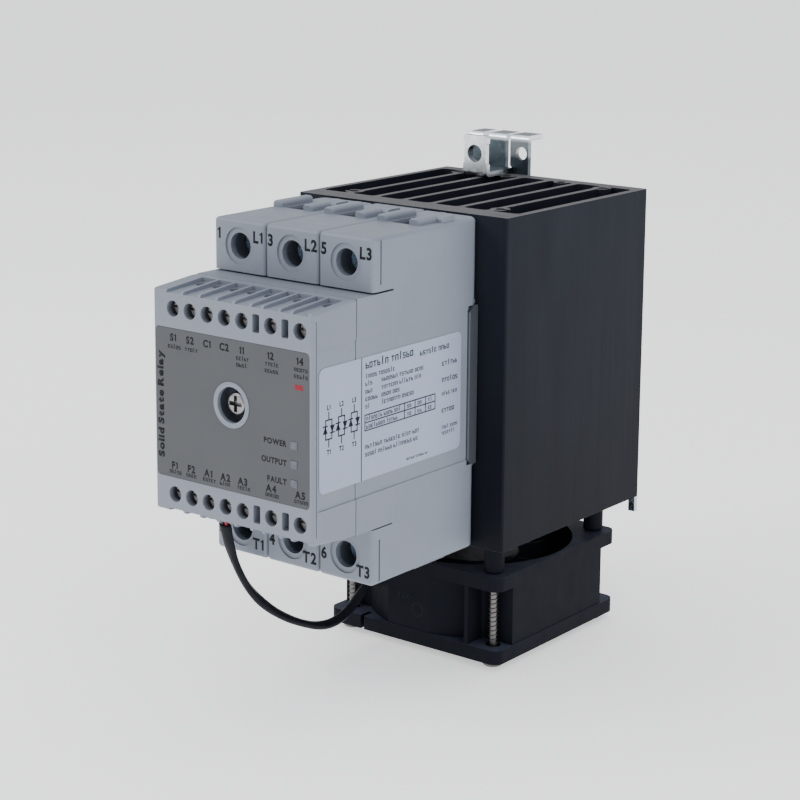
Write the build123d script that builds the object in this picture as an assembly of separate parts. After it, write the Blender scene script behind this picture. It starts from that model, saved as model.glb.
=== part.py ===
from build123d import *
import os
from math import cos, radians, sin, tan

# Three-pole solid state relay on a finned heat sink with a cooling fan.
# Millimetres. +X is to the right seen from the front, +Y points back to the rail, +Z is up.
# Origin: the plane the 35 mm rail seats against, at mid-width and mid-height of the heat sink.

# ---- heat sink and rail bracket ----
PLATE = 1.5                     # thickness of the bracket's steel sheet
HS_HALF_W = 35.6
HS_DEPTH = 69.0
HS_HALF_H = 45.4
HS_BACK = -PLATE
HS_FRONT = HS_BACK - HS_DEPTH
HS_SIDE_WALL = 2.3
HS_FRONT_WALL = 7.8
HS_BACK_WALL = 4.6
FIN_PITCH = 9.6
FIN_X = [(i - 2.5) * FIN_PITCH for i in range(6)]
FIN_T = 1.9
SLIP = 0.03                     # radial clearance of a screw in its hole

# ---- poles ----
POLE_PITCH = 17.8
POLE_X = [-POLE_PITCH, 0.0, POLE_PITCH]
POLE_W = POLE_PITCH - 0.1
BODY_HALF_W = 1.5 * POLE_PITCH
BODY_HALF_H = 45.0
BLOCK_FRONT = 44.6              # depths are measured forward from the heat sink's front face
UPPER_BLOCK_Z = 31.3             # inner face of the upper terminal blocks
LOWER_BLOCK_Z = -30.1
BODY_FRONT = 36.4
TERMINAL_Z = 38.06
ACCESS_R = 3.5
ACCESS_RING_R = 4.95
ACCESS_LIP = 2.3                # thickness of the wall round the driver bore
HEAD_ROOM_R = 4.6               # room round the screw head behind that wall
POWER_PITCH = 0.8               # thread pitch of the power terminal screws
POWER_TRAVEL = 6.0
POWER_SCREW_R = 2.5
POWER_HEAD_R = 3.5

# ---- control module ----
MODULE_FRONT = 67.6
MODULE_SEAM = 51.3
MODULE_MID_Z = 0.55
MODULE_FRONT_HALF_H = 29.05
MODULE_HALF_H = 30.25
MODULE_BEND = 53.8
MODULE_WALL = 1.6
CONTROL_Z = 24.35               # terminal rows above and below the module's middle
CONTROL_PITCH = 5.82
CONTROL_X = [-19.77 + CONTROL_PITCH * i for i in range(5)] + [12.96, 22.41]
POCKET_X = [8.235, 17.685]
CONTROL_BORE_R = 2.1
CONTROL_LIP = 1.7
CONTROL_ROOM_R = 2.45
CONTROL_SCREW_R = 1.5
CONTROL_HEAD_R = 2.15
CONTROL_HEAD_TOP = 64.9         # depth of the control screws' faces
WIRE_HOLE_DEPTH = 56.4
WIRE_HOLE_R = 1.8
FIX_Z = 3.0                     # height of the module's fixing screw
FIX_SCREW_R = 2.0
FIX_RING_R = 5.9
FIX_MOUTH_R = 4.65
FIX_ROOM_R = 6.2                # the room round the screw head, behind the ring
FIX_ROOM = (62.2, 66.6)
FIX_SEAT = 63.9                 # depth of the seat that the screw head rests on
SEAM_GAP = 0.3
LIGHT_X = 20.5
LIGHT_Z = [-3.9, -8.75, -13.6]
LIGHT_HALF = 1.0
OVERLAY_DEPTH = 0.35

# ---- fan ----
FAN_SIZE = 60.0
FAN_T = 25.0
FAN_HOLE = 25.0                 # half of the 50 mm hole spacing
FAN_TOP = -56.0
FAN_BOTTOM = FAN_TOP - FAN_T
FAN_FLANGE = 4.0
FAN_STEP = 0.3                  # the walls stand this far inside the flanges
FAN_BORE_R = 28.7
FAN_WALL_R = 30.3
FAN_Y = HS_FRONT + 36.6
HUB_R = 13.5
BLADES = 7
FAN_SCREW_R = 1.05              # core of the thread; the spacers and flanges have wide holes
FAN_TAP_R = 1.25
FAN_CLEAR_R = 1.7
FAN_FLANGE_HOLE_R = 2.15
FAN_SPACER_R = 2.85
LEAD_R = 1.3
WIRE_R = 0.55

os.makedirs("parts", exist_ok=True)


def front(depth):
    """Y of a point this far in front of the heat sink's front face."""
    return HS_FRONT - depth


def slab(x0, x1, y0, y1, z0, z1):
    size = (abs(x1 - x0), abs(y1 - y0), abs(z1 - z0))
    return Pos((x0 + x1) / 2, (y0 + y1) / 2, (z0 + z1) / 2) * Box(*size)


def rod_y(x, z, r, y0, y1):
    return Pos(x, (y0 + y1) / 2, z) * Rot(90, 0, 0) * Cylinder(r, abs(y1 - y0))


def rod_z(x, y, r, z0, z1):
    return Pos(x, y, (z0 + z1) / 2) * Cylinder(r, abs(z1 - z0))


def prism_x(points, x0, x1):
    """Solid between x0 and x1 whose side view is the polygon of (depth, z) points."""
    face = Plane.YZ * Polygon(*[(front(d), z) for d, z in points], align=None)
    return Pos(x0, 0, 0) * extrude(face, x1 - x0, dir=(1, 0, 0))


def plate_y(x0, x1, z0, z1, corner, y0, y1):
    """Upright plate facing front, with rounded corners."""
    outline = RectangleRounded(x1 - x0, z1 - z0, corner)
    solid = extrude(Plane.XZ * outline, (y1 - y0) / 2, both=True)
    return Pos((x0 + x1) / 2, (y0 + y1) / 2, (z0 + z1) / 2) * solid


def front_upright_edges(solid):
    return solid.edges().filter_by(Axis.Z).group_by(Axis.Y)[0]


def save(name, *solids):
    shape = solids[0] if len(solids) == 1 else Compound(children=list(solids))
    export_step(shape, f"parts/{name}.step")


# ---- heat sink ----
def channel_spans():
    edges = [-HS_HALF_W + HS_SIDE_WALL]
    for x in FIN_X:
        edges += [x - FIN_T / 2, x + FIN_T / 2]
    edges.append(HS_HALF_W - HS_SIDE_WALL)
    return list(zip(edges[0::2], edges[1::2]))


def fan_hole_xy():
    return [(sx * FAN_HOLE, FAN_Y + sy * FAN_HOLE) for sx in (-1, 1) for sy in (-1, 1)]


COLUMN_R = 2.7                  # screw channels for the fan, open to the duct beside them
COLUMN_SLOT = 1.3
BRACKET_SCREW_XZ = [(sx * 20.0, z) for sx in (-1, 1) for z in (28.0, -30.0)]
BRACKET_SCREW_R = 2.0
POLE_SCREW_DX = 4.2             # pole fixing screws stand beside the pole's middle
POLE_SCREW_Z = 20.0
POLE_SCREW_R = 1.5


def heat_sink():
    body = slab(-HS_HALF_W, HS_HALF_W, HS_FRONT, HS_BACK, -HS_HALF_H, HS_HALF_H)
    body = fillet(body.edges().filter_by(Axis.Z), 0.6)
    y0 = HS_FRONT + HS_FRONT_WALL
    y1 = HS_BACK - HS_BACK_WALL
    for x0, x1 in channel_spans():
        duct = slab(x0, x1, y0, y1, -HS_HALF_H - 1, HS_HALF_H + 1)
        body -= fillet(duct.edges().filter_by(Axis.Z), 1.4)
    for x, y in fan_hole_xy():
        body += rod_z(x, y, COLUMN_R, -HS_HALF_H, HS_HALF_H)
    for x in (-FIN_PITCH, FIN_PITCH):
        body += rod_z(x, y1, 2.6, -HS_HALF_H, HS_HALF_H)
        body -= rod_z(x, y1 - 0.6, 1.3, -HS_HALF_H - 1, HS_HALF_H + 1)
    for x, y in fan_hole_xy():
        body -= rod_z(x, y, FAN_TAP_R, -HS_HALF_H - 1, HS_HALF_H + 1)
        slot_end = x + (COLUMN_R + 0.6) * (1 if x > 0 else -1)
        body -= slab(x, slot_end, y - COLUMN_SLOT / 2, y + COLUMN_SLOT / 2, -HS_HALF_H - 1, HS_HALF_H + 1)
    for x, z in BRACKET_SCREW_XZ:
        body -= rod_y(x, z, BRACKET_SCREW_R + SLIP, HS_BACK - 4.2, HS_BACK + 1)
    for x in POLE_X:
        for z in (-POLE_SCREW_Z, POLE_SCREW_Z):
            body -= rod_y(x + POLE_SCREW_DX, z, POLE_SCREW_R + SLIP, HS_FRONT - 1, HS_FRONT + 6.2)
    return body


# ---- pole housings ----
CHAMBER = (11.2, 34.3)          # depths of the room that the clamp slides in
CHAMBER_HALF_W = 5.6
CHAMBER_Z = (32.6, 43.5)
ENTRY = (11.8, 22.0)            # depths of the cable entry above and below each pole
ENTRY_HALF_W = 3.8
SHOULDER = 35.8
CORE_HALF_W = 7.3
CORE_HALF_H = 30.9
REAR_RADIUS = 3.0
GATE_SLOT_HALF_W = 3.4          # where a gate connector passes from a pole into the module
GATE_SLOT_Z = (-9.4, -6.6)
BUS_SLOT_HALF_W = 3.75
POLE_EDGE = 1.1
RIB_W = 3.4
RIB_TOP = 46.8
RIB_SPAN = (9.7, 22.4)          # depths that the ribs run between
RIB_OFFSETS = (-6.3, 4.2)       # middles of the two ribs beside each cable entry
SHELF_FRONT = 15.0              # the ribs of neighbouring poles share a shelf behind this depth
CLIP_HALF_H = 21.6
CLIP_DEPTH = 4.4
CLIP_BACK = 0.5
CLIP_CHAMFER = 1.6
CLIP_INNER_X = 25.3
CLIP_OUTER_X = 27.1
LABEL_SPAN = (7.4, 65.2)
LABEL_Z = (-16.0, 15.6)
RECESS_Z = (-20.2, 20.8)
RECESS = 0.3


def rib(x, up):
    """Rounded finger guard that runs back beside a cable entry."""
    bar = slab(x - RIB_W / 2, x + RIB_W / 2, front(RIB_SPAN[1]), front(RIB_SPAN[0]), 44.0, RIB_TOP)
    bar = fillet(bar.edges().filter_by(Axis.Y).group_by(Axis.Z)[-1], 1.1)
    nose = bar.edges().group_by(Axis.Y)[0].filter_by(Axis.Z)
    bar = fillet(nose, 0.5)
    return bar if up > 0 else mirror(bar, Plane.XY)


def rib_shelf(x0, x1, up):
    """Step behind two neighbouring ribs, nearly as high as they are."""
    step = slab(x0, x1, front(SHELF_FRONT), front(RIB_SPAN[0]), 44.0, RIB_TOP - 0.2)
    step = fillet(step.edges().filter_by(Axis.X).group_by(Axis.Z)[-1].sort_by(Axis.Y)[0], 0.9)
    return step if up > 0 else mirror(step, Plane.XY)


def side_recess(sign, depth0, depth1):
    inner = sign * (BODY_HALF_W - RECESS)
    return slab(inner, sign * (BODY_HALF_W + 1), front(depth0), front(depth1), *RECESS_Z)


def pole_housing(index):
    x = POLE_X[index]
    half = POLE_W / 2
    outline = [(0, -BODY_HALF_H), (BLOCK_FRONT, -BODY_HALF_H), (BLOCK_FRONT, LOWER_BLOCK_Z),
               (BODY_FRONT, LOWER_BLOCK_Z), (BODY_FRONT, UPPER_BLOCK_Z),
               (BLOCK_FRONT, UPPER_BLOCK_Z), (BLOCK_FRONT, BODY_HALF_H), (0, BODY_HALF_H)]
    body = prism_x(outline, x - half, x + half)
    outer = [-1] if index == 0 else [1] if index == 2 else []
    for sign in outer:
        rear = body.edges().filter_by(Axis.Z).group_by(Axis.Y)[-1].sort_by(Axis.X)
        body = fillet(rear[0 if sign < 0 else -1], REAR_RADIUS)
    corners = body.edges().filter_by(Axis.Y).group_by(Axis.Z)
    rims = body.edges().filter_by(Axis.X).group_by(Axis.Z)
    rims = [end.group_by(Axis.Y)[0] for end in (rims[0], rims[-1])]
    body = fillet(front_upright_edges(body) + rims[0] + rims[1] + corners[0] + corners[-1], POLE_EDGE)
    body -= slab(x - CORE_HALF_W, x + CORE_HALF_W, front(34.4), HS_FRONT + 1,
                 -CORE_HALF_H, CORE_HALF_H)
    for up in (-1, 1):
        for dx in RIB_OFFSETS:
            body += rib(x + dx, up)
        if up > 0 or index > 0:
            body += rib_shelf(x - half + POLE_EDGE, x + RIB_OFFSETS[0], up)
        if up > 0 or index < 2:
            body += rib_shelf(x + RIB_OFFSETS[1], x + half - POLE_EDGE, up)
        chamber_z = sorted(up * z for z in CHAMBER_Z)
        body -= slab(x - CHAMBER_HALF_W, x + CHAMBER_HALF_W, front(CHAMBER[1]),
                     front(CHAMBER[0]), *chamber_z)
        body -= slab(x - ENTRY_HALF_W, x + ENTRY_HALF_W, front(ENTRY[1]), front(ENTRY[0]),
                     up * 43.0, up * 48.0)
        body -= slab(x - BUS_SLOT_HALF_W, x + BUS_SLOT_HALF_W, front(22.2), front(20.3), up * 30.0, up * 33.0)
        z = up * TERMINAL_Z
        body -= rod_y(x, z, ACCESS_R, front(SHOULDER), front(BLOCK_FRONT + 1))
        body -= rod_y(x, z, HEAD_ROOM_R, front(SHOULDER), front(BLOCK_FRONT - ACCESS_LIP))
        body -= rod_y(x, z, POWER_SCREW_R + 0.1, front(CHAMBER[1] - 1), front(SHOULDER))
        body -= rod_y(x, z, ACCESS_RING_R, front(BLOCK_FRONT - 0.45), front(BLOCK_FRONT + 1))
        body += pole_boss(x, up * POLE_SCREW_Z)
        body -= rod_y(x + POLE_SCREW_DX, up * POLE_SCREW_Z, POLE_SCREW_R + SLIP,
                      front(11), HS_FRONT + 1)
        body -= rod_y(x + POLE_SCREW_DX, up * POLE_SCREW_Z, 3.0, front(34), front(37))
    body -= slab(x - GATE_SLOT_HALF_W, x + GATE_SLOT_HALF_W, front(34), front(37), *GATE_SLOT_Z)
    if index == 1:
        body += rod_y(x, FIX_Z, 4.4, front(27), front(34.6))
        body -= rod_y(x, FIX_Z, FIX_SCREW_R + SLIP, front(26), front(37))
    for sign in outer:
        body -= side_recess(sign, -1, BODY_FRONT + 1)
        body -= slab(sign * CLIP_INNER_X, sign * 28, front(-1), front(CLIP_DEPTH + 0.1),
                     -CLIP_HALF_H - 0.1, CLIP_HALF_H + 0.1)
        for up in (-1, 1):
            body -= slab(sign * 26.25, sign * 27, front(41.3), front(41.9), up * 33.0, up * 44.2)
    return body


def pole_boss(x, z):
    """Screw seat on the right-hand wall of a pole."""
    pad = slab(x + POLE_SCREW_DX, x + CORE_HALF_W + 0.4, HS_FRONT, front(10), z - 2.8, z + 2.8)
    return pad + rod_y(x + POLE_SCREW_DX, z, 2.8, front(10), HS_FRONT)


def side_clip(sign):
    nose = CLIP_DEPTH - CLIP_CHAMFER
    end = CLIP_HALF_H - CLIP_CHAMFER
    outline = Polygon((front(CLIP_DEPTH), -end), (front(nose), -CLIP_HALF_H),
                      (front(CLIP_BACK), -CLIP_HALF_H), (front(CLIP_BACK), CLIP_HALF_H),
                      (front(nose), CLIP_HALF_H), (front(CLIP_DEPTH), end), align=None)
    bar = extrude(Plane.YZ * outline, CLIP_OUTER_X - CLIP_INNER_X - 0.1, dir=(1, 0, 0))
    bar = Pos(CLIP_INNER_X + 0.1, 0, 0) * bar
    bar = fillet(bar.edges().filter_by(Axis.Z).group_by(Axis.X)[-1], 0.4)
    return bar if sign > 0 else mirror(bar, Plane.YZ)


# ---- power path inside a pole ----
CAGE_SPAN = (11.5, 28.0)        # depths of the clamp's outer faces when it stands open
CAGE_HALF_W = 5.2
CAGE_HALF_H = 4.8
CAGE_WALL = 1.5
CAGE_THREAD = 2.6               # thickness of the tapped front wall
BUS_T = 1.5
BUS_FRONT = 22.0
BUS_HALF_W = 3.6
PAD_T = 0.25
SUBSTRATE_T = 1.25


def power_screw(x, z):
    head = rod_y(x, z, POWER_HEAD_R, front(SHOULDER + 2.6), front(SHOULDER))
    head = fillet(head.edges().filter_by(GeomType.CIRCLE).group_by(Axis.Y)[0], 0.5)
    for turn in (0, 90):
        bar = Box(0.9, 1.4, 4.6)
        head -= Pos(x, front(SHOULDER + 2.2), z) * Rot(0, turn, 0) * bar
    return head + rod_y(x, z, POWER_SCREW_R, front(SHOULDER + 0.2), front(BUS_FRONT + 0.05))


def power_clamp(x, z):
    cage = slab(x - CAGE_HALF_W, x + CAGE_HALF_W, front(CAGE_SPAN[1]), front(CAGE_SPAN[0]),
                z - CAGE_HALF_H, z + CAGE_HALF_H)
    cage = fillet(cage.edges().filter_by(Axis.Z), 0.8)
    cage -= slab(x - CAGE_HALF_W + 1.3, x + CAGE_HALF_W - 1.3, front(CAGE_SPAN[1] - CAGE_THREAD),
                 front(CAGE_SPAN[0] + CAGE_WALL), z - 6, z + 6)
    return cage - rod_y(x, z, POWER_SCREW_R + 0.05, front(24), front(30))


def busbar(x, up):
    """Copper strip from the clamp down and back to the power substrate."""
    z_end, z_turn, z_foot, foot_d = 41.5, 29.3, 9.0, PAD_T + SUBSTRATE_T
    strip = slab(x - BUS_HALF_W, x + BUS_HALF_W, front(BUS_FRONT), front(BUS_FRONT - BUS_T),
                 up * (z_turn - BUS_T), up * z_end)
    strip += slab(x - 6.2, x + BUS_HALF_W, front(BUS_FRONT), front(foot_d),
                  up * (z_turn - BUS_T), up * z_turn)
    return strip + slab(x - 6.2, x + 0.6, front(foot_d + BUS_T), front(foot_d),
                        up * z_foot, up * z_turn)


def thermal_pad(x):
    return slab(x - 6.4, x + 6.4, front(PAD_T), HS_FRONT, -14.4, 14.4)


def power_substrate(x):
    plate = slab(x - 6.2, x + 6.2, front(PAD_T + SUBSTRATE_T), front(PAD_T), -14.0, 14.0)
    chips = [slab(x - 2.6, x + 2.6, front(PAD_T + SUBSTRATE_T + 0.6), front(PAD_T + SUBSTRATE_T),
                  z - 2.6, z + 2.6) for z in (-4.4, 4.4)]
    return [plate] + chips


def pole_screw(x, z):
    head = rod_y(x, z, 2.7, front(12.2), front(10))
    head = fillet(head.edges().filter_by(GeomType.CIRCLE).group_by(Axis.Y)[0], 0.8)
    head -= slab(x - 2, x + 2, front(12.4), front(11.2), z - 0.35, z + 0.35)
    return head + rod_y(x, z, POLE_SCREW_R, front(10.1), HS_FRONT + 6)


def gate_connector(x):
    return slab(x - 3.0, x + 3.0, front(47.8), front(PAD_T + SUBSTRATE_T), -9.0, -7.0)


# ---- control module ----
def module_outline(flip_depth):
    """Side view of the module from flip_depth forward to its front face, as (depth, z)."""
    upper = [(MODULE_FRONT, MODULE_FRONT_HALF_H), (MODULE_BEND, MODULE_HALF_H),
             (flip_depth, MODULE_HALF_H)]
    lower = [(d, -h) for d, h in reversed(upper)]
    return [(d, h + MODULE_MID_Z) for d, h in upper + lower]


LANE_REAR = 54.2
LANE_FLOOR = (28.25, 29.05)     # heights of the lane's floor at the front face and at its rear end
LANE_RIB = 0.85


def lane_spans():
    """Left and right sides of the shallow lanes, one over each terminal and each pocket."""
    left = sorted([x - 2.2 for x in CONTROL_X] + [x - 1.4 for x in POCKET_X])
    right = [x - LANE_RIB for x in left[1:]] + [CONTROL_X[-1] + 2.6]
    return list(zip(left, right))


def wire_lane(x0, x1, up):
    """Shallow cut that guides a wire back from the front face to its hole."""
    wedge = [(MODULE_FRONT + 1, LANE_FLOOR[0]), (LANE_REAR, LANE_FLOOR[1]), (LANE_REAR, 32.0),
             (MODULE_FRONT + 1, 32.0)]
    return prism_x([(d, MODULE_MID_Z + up * h) for d, h in wedge], x0, x1)


def control_positions():
    return [(x, MODULE_MID_Z + up * CONTROL_Z, up) for up in (1, -1) for x in CONTROL_X]


def control_front_cover():
    body = prism_x(module_outline(MODULE_SEAM), -BODY_HALF_W, BODY_HALF_W)
    body = fillet(front_upright_edges(body), 0.9)
    for end in (0, -1):
        rim = body.edges().filter_by(Axis.X).group_by(Axis.Y)[0].sort_by(Axis.Z)[end]
        body = fillet(rim, 0.7)
    room = (MODULE_MID_Z - 20.2, MODULE_MID_Z + 20.2)
    body -= slab(-25.1, 25.1, front(65.8), front(MODULE_SEAM - 1), *room)
    body += rod_y(0, FIX_Z, FIX_ROOM_R + 1.4, front(61.2), front(66.9))
    body += rod_y(0, FIX_Z, 4.2, front(49.6), front(63))
    for x, z, up in control_positions():
        body -= rod_y(x, z, CONTROL_BORE_R, front(60.8), front(MODULE_FRONT + 1))
        body -= rod_y(x, z, CONTROL_ROOM_R, front(60.8), front(MODULE_FRONT - CONTROL_LIP))
        inner, outer = sorted((MODULE_MID_Z + up * 21.4, MODULE_MID_Z + up * 26.4))
        body -= slab(x - 2.4, x + 2.4, front(61.0), front(MODULE_SEAM - 1), inner, outer)
        body -= rod_z(x, front(WIRE_HOLE_DEPTH), WIRE_HOLE_R, MODULE_MID_Z + up * 26,
                      MODULE_MID_Z + up * 32)
    for x in POCKET_X:
        for up in (1, -1):
            z = MODULE_MID_Z + up * CONTROL_Z
            body -= plate_y(x - 1.15, x + 1.15, z - 2.35, z + 2.35, 0.5, front(68), front(63.5))
    for up in (1, -1):
        for x0, x1 in lane_spans():
            body -= wire_lane(x0, x1, up)
    body -= plate_y(-26.0, 25.5, -19.4, 19.9, 1.3, front(MODULE_FRONT + 1),
                    front(MODULE_FRONT - OVERLAY_DEPTH))
    body += rod_y(0, FIX_Z, FIX_RING_R, front(MODULE_FRONT + 0.15), front(66))
    body -= rod_y(0, FIX_Z, FIX_ROOM_R, front(FIX_ROOM[0]), front(FIX_ROOM[1]))
    body -= rod_y(0, FIX_Z, FIX_MOUTH_R, front(66), front(70))
    body += rod_y(0, FIX_Z, 3.3, front(61.5), front(FIX_SEAT))
    body -= rod_y(0, FIX_Z, FIX_SCREW_R + 0.1, front(48), front(70))
    for z in LIGHT_Z:
        body -= plate_y(LIGHT_X - 1.05, LIGHT_X + 1.05, z - 1.05, z + 1.05, 0.15, front(69), front(64))
    for sign in (-1, 1):
        body -= side_recess(sign, MODULE_SEAM - 1, 66.0)
        body -= slab(sign * 26.45, sign * 27, front(66.3), front(66.6), -26.5, 27.6)
    return body


def control_rear_housing():
    body = prism_x(module_outline(BODY_FRONT), -BODY_HALF_W, BODY_HALF_W)
    body -= slab(-30, 30, front(MODULE_SEAM - SEAM_GAP), front(80), -40, 40)
    body -= slab(-25.1, 25.1, front(60), front(BODY_FRONT + MODULE_WALL), -28.1, 29.2)
    for x in (-22.6, 22.6):
        for z in (-25.6, 26.7):
            body += slab(x - 2.6, x + 2.6, front(47.7), front(37.5), z - 2.6, z + 2.6)
    body += rod_y(0, FIX_Z, 4.0, front(47.6), front(37.0))
    body -= rod_y(0, FIX_Z, FIX_SCREW_R + 0.1, front(30), front(50))
    for x in POLE_X:
        body -= slab(x - GATE_SLOT_HALF_W, x + GATE_SLOT_HALF_W, front(30), front(39), *GATE_SLOT_Z)
    for sign in (-1, 1):
        body -= side_recess(sign, BODY_FRONT - 1, MODULE_SEAM + 1)
    return body


def front_panel_overlay():
    y0, y1 = front(MODULE_FRONT), front(MODULE_FRONT - OVERLAY_DEPTH)
    sheet = plate_y(-25.9, 25.4, -19.3, 19.8, 1.2, y0, y1)
    sheet -= rod_y(0, FIX_Z, FIX_RING_R + 0.05, front(69), front(66))
    for z in LIGHT_Z:
        sheet -= plate_y(LIGHT_X - 1.05, LIGHT_X + 1.05, z - 1.05, z + 1.05, 0.15, front(69), front(64))
    return sheet


def rating_label():
    width = LABEL_SPAN[1] - LABEL_SPAN[0]
    height = LABEL_Z[1] - LABEL_Z[0]
    sheet = extrude(Plane.YZ * RectangleRounded(width, height, 1.8), 0.15)
    middle = front((LABEL_SPAN[0] + LABEL_SPAN[1]) / 2)
    return Pos(BODY_HALF_W - RECESS, middle, (LABEL_Z[0] + LABEL_Z[1]) / 2) * sheet


def light_pipe(z):
    return slab(LIGHT_X - LIGHT_HALF, LIGHT_X + LIGHT_HALF, front(MODULE_FRONT + 0.1), front(51.6),
                z - LIGHT_HALF, z + LIGHT_HALF)


BOARD = (47.8, 49.4)            # depths of the control board's two faces


def control_board():
    board = slab(-24.8, 24.8, front(BOARD[1]), front(BOARD[0]), -27.8, 28.9)
    return board - rod_y(0, FIX_Z, 2.3, front(46), front(51))


def board_components():
    def on_board(x0, x1, z0, z1, height):
        return slab(x0, x1, front(BOARD[1] + height), front(BOARD[1]), z0, z1)
    parts = [on_board(-22, -7, 6, 16, 10.0), on_board(6, 18, 5, 17, 11.5)]
    parts += [rod_y(-15, -8, 4.0, front(BOARD[1] + 10.5), front(BOARD[1]))]
    parts += [on_board(3, 11, -15, -7, 1.6)]
    parts += [on_board(x, x + 4.5, -17, -10.5, 3.4) for x in (-9.5, -3.5)]
    parts += [on_board(LIGHT_X - 1.4, LIGHT_X + 1.4, z - 1.4, z + 1.4, 1.9) for z in LIGHT_Z]
    return parts


def terminal_pillar(x, z, up):
    """Brass block with the wire hole, and the pin that stands on the board."""
    z_low, z_high = sorted((MODULE_MID_Z + up * 21.5, MODULE_MID_Z + up * 26.3))
    block = slab(x - 2.3, x + 2.3, front(60.7), front(52.4), z_low, z_high)
    block -= rod_y(x, z, CONTROL_SCREW_R + 0.05, front(WIRE_HOLE_DEPTH), front(62))
    block -= rod_z(x, front(WIRE_HOLE_DEPTH), 1.5, MODULE_MID_Z + up * 22.4, MODULE_MID_Z + up * 28)
    return block + slab(x - 0.6, x + 0.6, front(52.6), front(BOARD[1]), z - 0.5, z + 0.5)


def control_screw(x, z):
    top = CONTROL_HEAD_TOP
    head = rod_y(x, z, CONTROL_HEAD_R, front(top), front(61.4))
    head = fillet(head.edges().filter_by(GeomType.CIRCLE).group_by(Axis.Y)[0], 0.35)
    head -= slab(x - 3, x + 3, front(top + 1), front(top - 1.0), z - 0.35, z + 0.35)
    head -= slab(x - 0.35, x + 0.35, front(top + 1), front(top - 0.8), z - 1.3, z + 1.3)
    return head + rod_y(x, z, CONTROL_SCREW_R, front(61.5), front(WIRE_HOLE_DEPTH + 1.6))


def module_fixing_screw():
    top = FIX_SEAT + 2.2
    head = rod_y(0, FIX_Z, 3.1, front(top), front(FIX_SEAT + 0.05))
    head = fillet(head.edges().filter_by(GeomType.CIRCLE).group_by(Axis.Y)[0], 0.9)
    for turn in (0, 90):
        head -= Pos(0, front(top), FIX_Z) * Rot(0, turn, 0) * Box(1.1, 2.8, 4.2)
    return head + rod_y(0, FIX_Z, FIX_SCREW_R, front(FIX_SEAT + 0.2), front(27.4))


# ---- fan ----
LEAD_X = -15.6
LEAD_ENTRY_Z = -66.0


def fan_square(z0, z1):
    block = slab(-FAN_SIZE / 2, FAN_SIZE / 2, FAN_Y - FAN_SIZE / 2, FAN_Y + FAN_SIZE / 2, z0, z1)
    return fillet(block.edges().filter_by(Axis.Z), 3.0)


def fan_frame():
    z_top, z_low = FAN_TOP - FAN_FLANGE, FAN_BOTTOM + FAN_FLANGE
    half = FAN_SIZE / 2
    body = fan_square(FAN_BOTTOM, FAN_TOP)
    core = rod_z(0, FAN_Y, FAN_WALL_R, z_low, z_top)
    pockets = [slab(sx * 19.6, sx * 31, FAN_Y + sy * 22.4, FAN_Y + sy * 31, z_low, z_top)
               for sx in (-1, 1) for sy in (-1, 1)]
    pockets.append(slab(5.8, 18.4, FAN_Y - 31, FAN_Y - 22.4, z_low, z_top))
    pockets.append(slab(-19.7, -8.3, FAN_Y - 31, FAN_Y - 22.4, z_low, z_top))
    for pocket in pockets:
        body -= pocket - core
    panel = half - FAN_STEP
    sides = slab(-half - 1, half + 1, FAN_Y - half - 1, FAN_Y + half + 1, z_low, z_top)
    body -= sides - slab(-panel, panel, FAN_Y - panel, FAN_Y + panel, z_low, z_top)
    body -= rod_z(0, FAN_Y, FAN_BORE_R, FAN_BOTTOM - 1, FAN_TOP + 1)
    for x, y in fan_hole_xy():
        body -= rod_z(x, y, FAN_FLANGE_HOLE_R, FAN_BOTTOM - 1, FAN_TOP + 1)
    body -= slab(-18.3, -17.0, FAN_Y - half - 1, FAN_Y - half + 4.0, FAN_BOTTOM - 1, z_low + 1)
    body -= rod_y(LEAD_X, LEAD_ENTRY_Z, LEAD_R + 0.15, FAN_Y - 29, FAN_Y - 20)
    body += rod_z(0, FAN_Y, 14.2, FAN_BOTTOM + 0.2, FAN_BOTTOM + 2.0)
    for i in range(4):
        strut = slab(13.0, 29.4, -1.3, 1.3, FAN_BOTTOM + 0.2, FAN_BOTTOM + 2.4)
        body += Pos(0, FAN_Y, 0) * Rot(0, 0, 45 + 90 * i) * strut
    body += rod_z(0, FAN_Y, 3.6, FAN_BOTTOM + 1.0, FAN_BOTTOM + 16.0)
    return body - rod_z(0, FAN_Y, 2.55, FAN_BOTTOM + 3.0, FAN_BOTTOM + 17.0)


BEARING_SPANS = [(FAN_BOTTOM + 3.4, FAN_BOTTOM + 7.4), (FAN_BOTTOM + 11.6, FAN_BOTTOM + 15.6)]


def fan_bearing(z0, z1):
    return rod_z(0, FAN_Y, 2.5, z0, z1) - rod_z(0, FAN_Y, 1.03, z0 - 1, z1 + 1)


def fan_stator():
    z0, z1 = FAN_BOTTOM + 6.5, FAN_BOTTOM + 13.5
    ring = rod_z(0, FAN_Y, 5.6, z0, z1)
    for i in range(4):
        pole = slab(4.0, 9.2, -1.6, 1.6, z0, z1) + slab(7.8, 9.2, -3.6, 3.6, z0, z1)
        ring += Pos(0, FAN_Y, 0) * Rot(0, 0, 90 * i) * pole
    return ring - rod_z(0, FAN_Y, 3.65, z0 - 1, z1 + 1)


def fan_circuit_board():
    z0 = FAN_BOTTOM + 3.2
    disc = rod_z(0, FAN_Y, 11.0, z0, z0 + 1.0)
    return disc - rod_z(0, FAN_Y, 3.7, z0 - 1, z0 + 2)


HUB_TOP = FAN_BOTTOM + 20.6
HUB_LOW = FAN_BOTTOM + 5.2


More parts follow.
